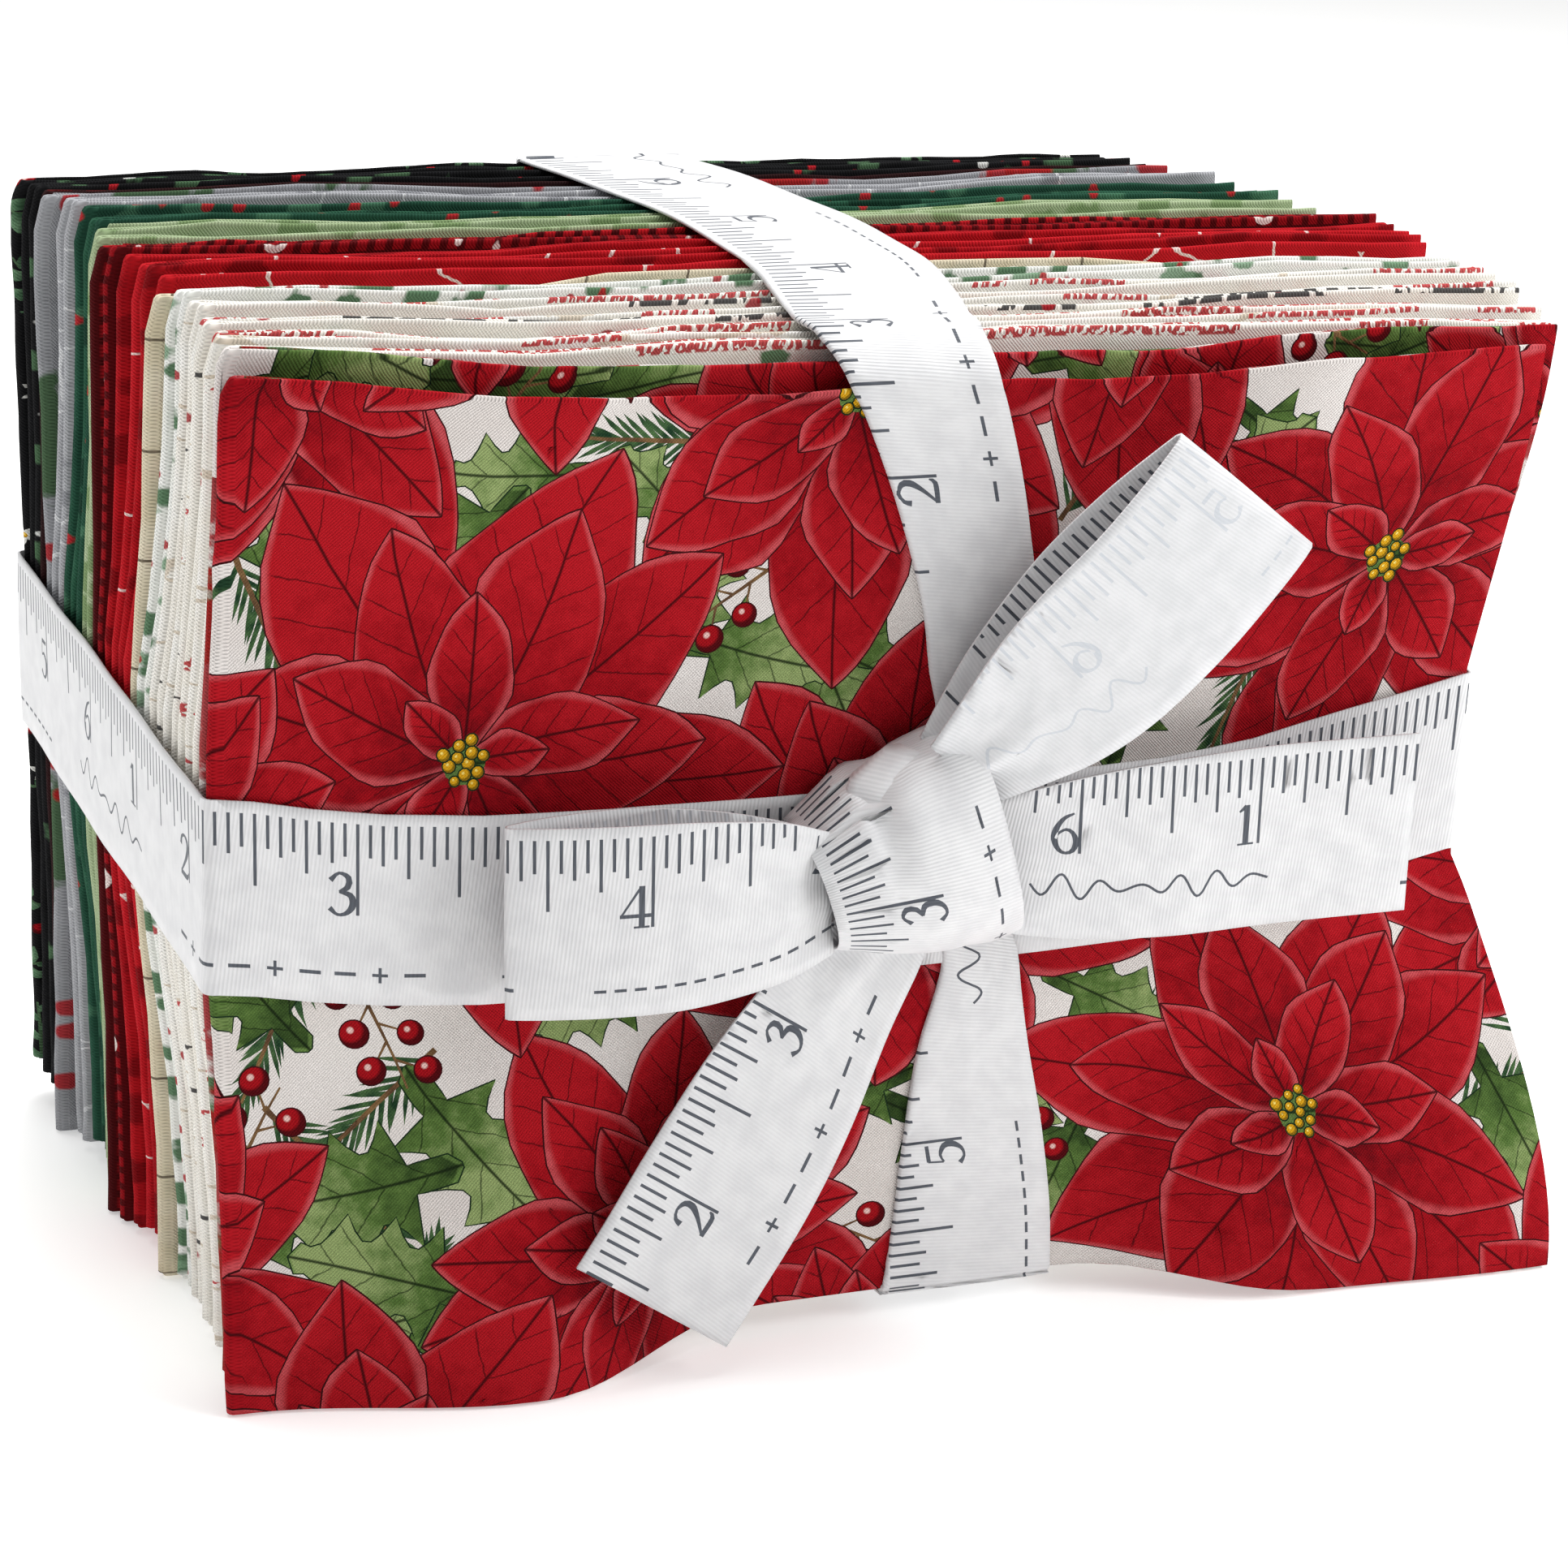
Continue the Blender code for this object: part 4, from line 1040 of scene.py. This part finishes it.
def ribbonPiece(name, points, t, start, node, printed=(0, -1, 0), folded=()):
    # The tape is cut flat along its marks and then laid on the points. start says where on the tape the
    # piece begins, and printed which way its printed side faces there.
    n, full, inside = points.shape[1], ribbon["width"], 0.001
    middle = points[:, n // 2]
    s = start + wayAlong(middle)
    spots = np.stack(np.meshgrid(s[1:-1], np.linspace(0, 1, n)[1:-1] * full, indexing="ij"), axis=-1)
    # the marks are drawn across the whole width, and what a curled edge loses is left out
    outlines = []
    columns = np.linspace(0, full, n)
    for mark in tapeOutlines(s[0], s[-1]):
        i = np.clip(np.searchsorted(s, mark[:, 0]) - 1, 0, len(s) - 2)
        f = np.clip((mark[:, 0] - s[i]) / (s[i + 1] - s[i]), 0, 1)[:, None]
        places = t[i] * (1 - f) + t[i + 1] * f
        first = places[:, 0] + 0.1
        if mark[:, 1].max() < first.max() + 0.4 or (len(mark) > 4 and (mark[:, 1] < first).any()):
            continue
        within = np.maximum(mark[:, 1], first)
        across = [np.interp(spot, place, columns) for spot, place in zip(within, places)]
        outlines.append(np.stack((mark[:, 0], across), axis=-1))
    # edges run along the folded edge and wherever the tape bends
    ahead = unit(np.diff(middle, axis=0))
    bend = np.degrees(np.arccos(np.clip(np.sum(ahead[1:] * ahead[:-1], axis=1), -1, 1)))
    lines = [((spot, inside), (spot, full - inside)) for spot in s[1:-1][bend > 6]]
    lines += [((s[0] + inside, spot), (s[-1] - inside, spot)) for spot in columns[list(folded)]]
    flat, triangles, shows = cutAlongPrint(s, columns, spots.reshape(-1, 2).tolist(), lines, outlines)

    # where each flat point lies on the grid
    i = np.clip(np.searchsorted(s, flat[:, 0], side="right") - 1, 0, len(s) - 2)
    f = ((flat[:, 0] - s[i]) / (s[i + 1] - s[i]))[:, None]
    c = np.clip(flat[:, 1] / full, 0, 1) * (n - 1)
    j = np.clip(c.astype(int), 0, n - 2)
    g = (c - j)[:, None]
    laid = ((points[i, j] * (1 - g) + points[i, j + 1] * g) * (1 - f)
            + (points[i + 1, j] * (1 - g) + points[i + 1, j + 1] * g) * f)
    seen = np.array((s[0], full * 0.75))
    nearest = min(triangles, key=lambda triangle: np.abs(flat[triangle[0]] - seen).sum())
    corner = laid[list(nearest)]
    if np.dot(np.cross(corner[1] - corner[0], corner[2] - corner[0]), printed) < 0:
        triangles = [tuple(reversed(triangle)) for triangle in triangles]
    piece = meshObject(name, toWorld(laid), triangles, flat * mm, ribbon["cloth"])
    piece.modifiers["thickness"].material_offset = 2
    for ink in tapeInks.values():
        piece.data.materials.append(ink)
    piece.data.polygons.foreach_set("material_index", [0 if show < 0 else 1 for show in shows])
    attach(piece, "root")
    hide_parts(node)
    print(name, "length %.1f," % (s[-1] - start), len(triangles), "triangles")


def levelBand():
    front, back, beside = (ribbon[k] for k in ("overStack", "backOfStack", "beside"))
    leftFront, leftBack = (lineAt("pressedLeft", t) - beside for t in (0, 1))
    rights = [lineAt("pressedRight", t) + beside for t in (0.0, 0.5, 1.0)]
    corners = ((rights[0], front), (rights[1], 0.0), (rights[2], back), (leftBack, back), (leftFront, front))
    # x, y and height of the middle, once round from the front of the knot by the right and the back
    route = [(2.0, front, 62.0), (20, front, 62.2), (35, front, 62.8), (48, front, 64.4), (62, front, 67.6)]
    heights = (71.0, 71.2, 71.0, 70.8, 67.5)
    before = (62, front)
    for i, (corner, height) in enumerate(zip(corners, heights)):
        after = corners[i + 1] if i + 1 < len(corners) else (-60.0, front)
        towards, away = (unit(np.array(place) - corner) * ribbon["corner"] for place in (before, after))
        for share in np.linspace(0, 1, 5):
            spot = np.array(corner) + towards * (1 - share) ** 2 + away * share ** 2
            route.append((*spot, height))
        for share in (0.25, 0.5, 0.75):
            if i < 4:
                spot = np.array(corner) * (1 - share) + np.array(after) * share
                route.append((*spot, height * (1 - share) + heights[i + 1] * share))
        before = corner
    route += [(-84, front, 66.9), (-77, front, 65.4), (-68, front, 63.9), (-56, front, 62.8),
              (-40, front, 62.2), (-20, front, 62), (2.0, front - 0.4, 62)]
    rows = np.array([(*place, ribbon["width"]) for place in route])
    between = []
    for a, b in zip(rows, rows[1:]):
        count = int(np.linalg.norm((b - a)[:3]) / 5) + 1
        between.append(np.linspace(a, b, max(2, count))[:-1])
    points, t = ribbonGrid(np.vstack(between + [rows[-1:]]), (0, 0, -1), (0, -1, 0))
    ribbonPiece("ribbonLevelBand", points, t, 62.9, "ribbon_band_level")


def uprightBand():
    front, over, back, full = (ribbon[k] for k in ("overStack", "overBand", "backOfStack", "width"))
    low = stack["pressedBottom"] - 0.25

    def high(t):
        return lineAt("pressedTop", t)

    # middle in x, y, z and width: from the knot over the top, down the back and under to the knot again
    route = (
        (5.4, over, 76, 7), (5.6, over, 81, 5.5), (5.9, over, 85, 6.5), (6.9, over, 89, 10.5),
        (7.9, front - 0.25, 97, 14.7), (6.0, front - 0.15, 106, 16.2), (3.6, front - 0.1, 114.6, 17.6),
        (0.9, front, 122.3, 18.8), (-0.2, front, 124.6, 19.3), (-0.7, front + 0.3, 126.0, 19.6),
        (-1.1, front + 1.4, 127.6, 20), (-1.5, -48.0, 129.1, 20.6), (-1.8, -46.0, 130.2, 21.3),
        (-1.9, -43.5, 131.2, 22), (-1.3, -38.0, high(0.12) + 0.5, 23), (-0.2, -32.0, high(0.18) + 0.4, 23.8),
        (1.7, -17.0, high(0.34) + 0.4, 24.3), (1.6, -5.0, high(0.45) + 0.4, full),
        (0.2, 8.0, high(0.58) + 0.4, full), (-3.6, 28.0, high(0.78) + 0.4, full),
        (-8.8, back - 4.0, high(0.96) + 0.4, full), (-9.6, back - 1.0, high(1) + 0.45, full),
        (-9.7, back - 0.3, high(1) + 0.1, full), (-9.7, back + 0.1, high(1) - 0.8, full),
        (-9.2, back + 0.1, 118, full), (-8.0, back + 0.1, 100, full), (-7.2, back + 0.15, 89, full),
        (-6.8, back + 0.55, 84, full), (-5.6, back + 0.6, 70, full), (-4.4, back + 0.55, 57, full),
        (-3.9, back + 0.15, 52, full), (-1.4, back, 30, full), (1.4, back, low + 2.0, full),
        (1.7, back - 0.1, low + 0.8, full), (1.9, back - 0.8, low + 0.1, full),
        (2.1, back - 2.0, low, full), (5.0, 25.0, low, full), (7.3, 0.0, low, full),
        (9.5, -28.0, low, full), (11.4, front + 2.0, low, full), (11.5, front + 0.8, low + 0.1, 24.3),
        (11.6, front + 0.1, low + 0.8, 24.1), (11.7, front, low + 2.0, 23.8), (11.9, front, 14, 22.3),
        (11.3, front - 0.1, 25, 19.6), (10.5, front - 0.2, 37, 15.6), (10.8, front - 0.4, 46, 11.5),
        (10.6, over, 51, 10.0), (9.0, over, 56, 9.0), (7.0, over, 62, 8.0),
    )
    rows = smoothRows(route, 3.0)
    points, t = ribbonGrid(rows, (1, 0, 0), (0, -1, 0), curl=0.5, pleat=0.25, phase=1.0)
    ribbonPiece("ribbonUprightBand", points, t, 11.8, "ribbon_band_upright",
                folded=(2, 3, 4))


def loopRows(loop):
    ahead = math.radians(loop["direction"])
    root = np.array(loop["root"])
    rows = []
    for s, n, width, skew in loop["profile"]:
        spot = root + np.array((math.cos(ahead) * s, -n, math.sin(ahead) * s))
        rows.append((*spot, width, ahead + math.radians(skew)))
    return smoothRows(rows, ribbon["step"])


# The bow's loops: out along the back layer, round the fold and home in front. A profile's rows are steps
# along and out, width and skew.
bowLoops = (
    {
        "name": "ribbonLeftLoop", "node": "ribbon_loop_left", "start": 41.8, "length": 0.083, "side": 1,
        "root": (-14.0, -53.5, 64.4), "direction": 181.0,
        "profile": (
            (0, 3.0, 13, 0), (6, 2.6, 17, 0), (14, 2.4, 21, 0), (24, 2.5, 24, 0), (34, 3.4, 24.5, 0),
            (39.8, 4.6, 24.5, 0), (41.0, 5.3, 24.5, 0), (39.8, 6.0, 24.5, 0), (36, 7.2, 24.5, 0),
            (29, 8.6, 24.5, 0), (20, 9.3, 24.2, 0), (12, 8.9, 22.6, 1), (6, 8.0, 20.4, 2), (0, 6.6, 16, 3),
        ),
    },
    {
        "name": "ribbonRightLoop", "node": "ribbon_loop_right", "start": 70.0, "length": 0.101, "side": -1,
        "root": (4.2, -54.2, 79.6), "direction": 44.8,
        "profile": (
            (-2, 2.4, 11, 0), (4, 2.4, 15, 0), (12, 2.5, 19.5, 0), (24, 3.2, 23.5, 3), (36, 4.8, 24.5, 6),
            (45.5, 7.2, 24.5, 7.6), (47.6, 8.3, 24.5, 7.6), (45.8, 9.2, 24.5, 7.6), (40, 10.3, 24.5, 7),
            (30, 11.4, 24.5, 5), (20, 10.8, 24.0, 2), (12, 9.4, 21.5, 0), (5, 7.6, 17, 0), (-2, 5.4, 12, 0),
        ),
    },
)
# The free ends. A route's rows are x, y, z and width from the knot to the cut end; the tape's scale runs
# away from the knot, way 1, or towards it, way -1.
freeEnds = (
    {
        "name": "ribbonLeftTail", "node": "ribbon_tail_left", "start": 36.3, "length": 0.059, "way": -1,
        "route": (
            (-2.5, -55.4, 59.5, 11), (-6.1, -55.6, 54.5, 14.5), (-12, -56.3, 47, 19), (-18.5, -57.4, 37, 23),
            (-25.5, -58.9, 26, 24.5), (-31.5, -60.0, 17.2, 24.5), (-35.8, -60.4, 10.9, 24.5),
        ),
    },
    {
        "name": "ribbonRightTail", "node": "ribbon_tail_right", "start": 139.7, "length": 0.061, "way": 1,
        "route": (
            (7.5, -57.6, 65.4, 17), (13.9, -58.6, 65.3, 19.6), (22, -59.2, 65.4, 22), (34, -59.3, 65.7, 23.9),
            (46, -59.0, 66.0, 24.5), (57, -58.9, 66.1, 24.5), (67.9, -59.2, 66.2, 24.5),
        ),
    },
)


def tieBow():
    for loop in bowLoops:
        rows = loopRows(loop)
        angle = rows[:, 4]
        across = np.stack((-np.sin(angle), 0 * angle, np.cos(angle)), axis=-1) * loop["side"]
        points, t = ribbonGrid(rows, across, (0, 1, 0), pleat=1.0, phase=0.7)
        ribbonPiece(loop["name"], points, t, loop["start"], loop["node"],
                    (0, loop["side"], 0))
    for end in freeEnds:
        rows = smoothRows(end["route"], ribbon["step"])[::end["way"]]
        along = unit(np.gradient(rows[:, :3], axis=0))
        across = unit(np.stack((along[:, 2], 0 * along[:, 0], -along[:, 0]), axis=-1))
        points, t = ribbonGrid(rows, across, (0, -1, 0), pleat=0.8, phase=2.0)
        ribbonPiece(end["name"], points, t, end["start"], end["node"])


knot = {
    # where the wrap goes in behind at its top and bottom, from its ticked left edge to its right edge
    "share": (0.0, 0.25, 0.45, 0.6, 0.8, 1.0),
    "topX": (-17.6, -12.1, -7.4, -4.2, 0.2, 4.6),
    "topZ": (71.6, 76.9, 78.6, 80.4, 82.2, 83.6),
    "bottomX": (-12.2, -5.5, 0.0, 4.1, 9.0, 13.2),
    "bottomZ": (55.6, 54.4, 54.0, 54.1, 54.4, 55.2),
    "out": (9.2, 10.8, 11.4, 11.6, 10.8, 9.0),
    "backY": -53.9,
}
# the gathered turns inside it, seen only at its two sides: heights, middle, half width and reach
knotCore = {
    "z": (57, 61, 67, 73, 78, 81),
    "x": (4.0, 2.5, -1.0, -4.5, -4.0, -2.0),
    "half": (6, 8, 9, 8.5, 7, 4),
    "out": (4.5, 7.0, 8.2, 8.2, 6.5, 4.0),
}


def knotWrap():
    c = np.linspace(0, 1, 25)
    share = np.concatenate(([0.0, 0.0], (1 - np.cos(np.linspace(0, math.pi, 27))) / 2, [1.0, 1.0]))[:, None]
    bottomX, bottomZ, topX, topZ, out = (np.interp(c, knot["share"], knot[k])[None, :]
                                         for k in ("bottomX", "bottomZ", "topX", "topZ", "out"))
    arch = (1 - np.abs(2 * share - 1) ** 2.5) ** (1 / 2.5)
    y = knot["backY"] - out * arch
    # a soft trough that runs down from the top edge, and a ridge beside it
    fall = np.clip((share - 0.45) / 0.45, 0, 1)
    place = c[None, :] + 0.05 * (1 - share)
    y = y + fall * (1.5 * np.exp(-((place - 0.36) / 0.07) ** 2) - 0.7 * np.exp(-((place - 0.5) / 0.08) ** 2))
    y = y + 0.5 * np.clip((0.35 - share) / 0.3, 0, 1) * np.exp(-((place - 0.72) / 0.08) ** 2)
    y[0] += 1.2
    y[-1] += 1.2
    points = np.stack((bottomX + (topX - bottomX) * share, y, bottomZ + (topZ - bottomZ) * share), axis=-1)
    t = np.broadcast_to(c[None, :] * ribbon["width"], y.shape)
    ribbonPiece("ribbonKnotWrap", points, t, 57.0, "ribbon_knot")


def knotCentre():
    heights = np.linspace(knotCore["z"][0], knotCore["z"][-1], 17)
    angles = np.linspace(0, 2 * math.pi, 28, endpoint=False)
    middle, half, reach = (np.interp(heights, knotCore["z"], knotCore[k])[:, None]
                           for k in ("x", "half", "out"))
    ring = 1 + 0.04 * np.sin(angles * 7)
    x = middle + half * np.cos(angles) * ring
    y = knot["backY"] - 0.2 - reach / 2 * (1 + np.sin(angles) * ring)
    z = heights[:, None] + 0 * x
    n = len(angles)
    faces = [tuple(range(n)), tuple(reversed(range((len(heights) - 1) * n, len(heights) * n)))]
    for i in range(len(heights) - 1):
        for j in range(n):
            k = (j + 1) % n
            faces.append((i * n + k, i * n + j, (i + 1) * n + j, (i + 1) * n + k))
    uvs = np.stack((z, x), axis=-1).reshape(-1, 2) * mm
    piece = meshObject("ribbonKnotCore", toWorld(np.stack((x, y, z), axis=-1)).reshape(-1, 3), faces, uvs)
    piece.data.materials.append(tapeInks["twill"])
    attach(piece, "root")
    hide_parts("ribbon_knot")


# Cotton twill tape: bleached, close and smooth, with fine ribs across it that catch the light.
twillTape = {
    "rib": 0.5,                # mm; the real ribs are about 0.25 mm, too fine to show
    "ribHeight": 0.035,
    "slant": 0.12,
    "roughness": 0.62,
    "specular": 0.35,
    "sheen": 0.1,
}


def tapeMaterial(name, colour, shade):
    material, tree, place, shader = clothMaterial(name, twillTape["roughness"], twillTape["specular"])
    shader.inputs["Sheen Weight"].default_value = twillTape["sheen"]
    turns = 2 * math.pi / (twillTape["rib"] * mm)
    split = addNode(tree, "SeparateXYZ", place).node
    slant = addNode(tree, "Math", split.outputs["Y"], twillTape["slant"], split.outputs["X"],
                    operation="MULTIPLY_ADD")
    rib = addNode(tree, "Math", slant, turns, operation="MULTIPLY")
    rib = addNode(tree, "Math", rib, operation="SINE")
    cloud = addNode(tree, "TexNoise", {"Vector": place, "Scale": 250.0, "Detail": 3.0})
    # the ribs are painted into the colour too, lighter on their crests and darker between them, as painted
    # highlight and shade over a random mottle
    tone = addNode(tree, "Math", rib, 0.12, cloud, operation="MULTIPLY_ADD")
    colours = addNode(tree, "ValToRGB", tone, stops=((0.3, shade), (0.7, colour)))
    tree.links.new(colours, shader.inputs["Base Color"])
    bump = addNode(tree, "Bump", {"Height": rib, "Distance": twillTape["ribHeight"] * mm, "Strength": 0.6})
    tree.links.new(bump, shader.inputs["Normal"])
    return material


# The marks are printed on one side and show faintly through the other.
tapeInks = {
    "twill": tapeMaterial("cottonTwillTape", "#dededf", "#d0d0d2"),
    "twillInk": tapeMaterial("cottonTwillTapeInk", "#4f545d", "#43474f"),
    "twillBack": tapeMaterial("cottonTwillTapeBack", "#dcdcde", "#cecfd1"),
    "twillInkBack": tapeMaterial("cottonTwillTapeInkThrough", "#c9ccd1", "#bfc3c9"),
}
levelBand()
uprightBand()
tieBow()
knotWrap()
knotCentre()
print("ribbon tied")


studio = {
    "azimuth": -21.41, "elevation": 18.67, "roll": 2.35,
    "distance": 521.1, "focalPixels": 4600.0, "target": (2.9, 0.0, 57.2),
    "imageSide": 1932, "sensor": 36.0,
}


def makeCamera():
    azimuth, elevation, roll = (math.radians(studio[k]) for k in ("azimuth", "elevation", "roll"))
    back = Vector((math.sin(azimuth) * math.cos(elevation), -math.cos(azimuth) * math.cos(elevation),
                   math.sin(elevation)))
    right = Vector((math.cos(azimuth), math.sin(azimuth), 0.0))
    up = back.cross(right)
    rolledRight = right * math.cos(roll) + up * math.sin(roll)
    rolledUp = up * math.cos(roll) - right * math.sin(roll)
    data = bpy.data.cameras.new("studioCamera")
    data.sensor_width = studio["sensor"]
    data.lens = studio["focalPixels"] / studio["imageSide"] * studio["sensor"]
    data.clip_start = 0.01
    camera = bpy.data.objects.new("studioCamera", data)
    bpy.context.collection.objects.link(camera)
    spot = (Vector(studio["target"]) + shift + back * studio["distance"]) * mm
    camera.matrix_world = Matrix((
        (rolledRight.x, rolledUp.x, back.x, spot.x),
        (rolledRight.y, rolledUp.y, back.y, spot.y),
        (rolledRight.z, rolledUp.z, back.z, spot.z),
        (0, 0, 0, 1),
    ))
    bpy.context.scene.camera = camera


makeCamera()

lights = (
    # name, place, size, watts
    ("keyLight", (0.38, -0.32, 0.34), 0.3, 1.45),
    ("fillLight", (-0.95, 0.42, 0.4), 0.8, 3.0),
    ("topLight", (0.2, 0.3, 1.2), 1.0, 20.5),
)
for name, place, size, watts in lights:
    data = bpy.data.lights.new(name, "AREA")
    data.size = size
    data.energy = watts
    lamp = bpy.data.objects.new(name, data)
    lamp.location = place
    lamp.rotation_euler = (Vector(place) - Vector((0, 0, 0.06))).to_track_quat("Z", "Y").to_euler()
    bpy.context.collection.objects.link(lamp)

floor = meshObject("floor", [(-4, -4, -0.0002), (4, -4, -0.0002), (4, 4, -0.0002), (-4, 4, -0.0002)],
                   [(0, 1, 2, 3)])
paper = bpy.data.materials.new("whiteBackgroundPaper")
paper.use_nodes = True
paperShader = paper.node_tree.nodes["Principled BSDF"]
paperShader.inputs["Base Color"].default_value = linearColour("#f7f7f6")
paperShader.inputs["Roughness"].default_value = 0.9
paperShader.inputs["Emission Color"].default_value = linearColour("#ffffff")
paperShader.inputs["Emission Strength"].default_value = 0.4      # lit from below, as a light table is
floor.data.materials.append(paper)

world = bpy.data.worlds.new("studio")
world.use_nodes = True
world.node_tree.nodes["Background"].inputs["Color"].default_value = linearColour("#ffffff")
world.node_tree.nodes["Background"].inputs["Strength"].default_value = 0.3
bpy.context.scene.world = world
print("studio set")
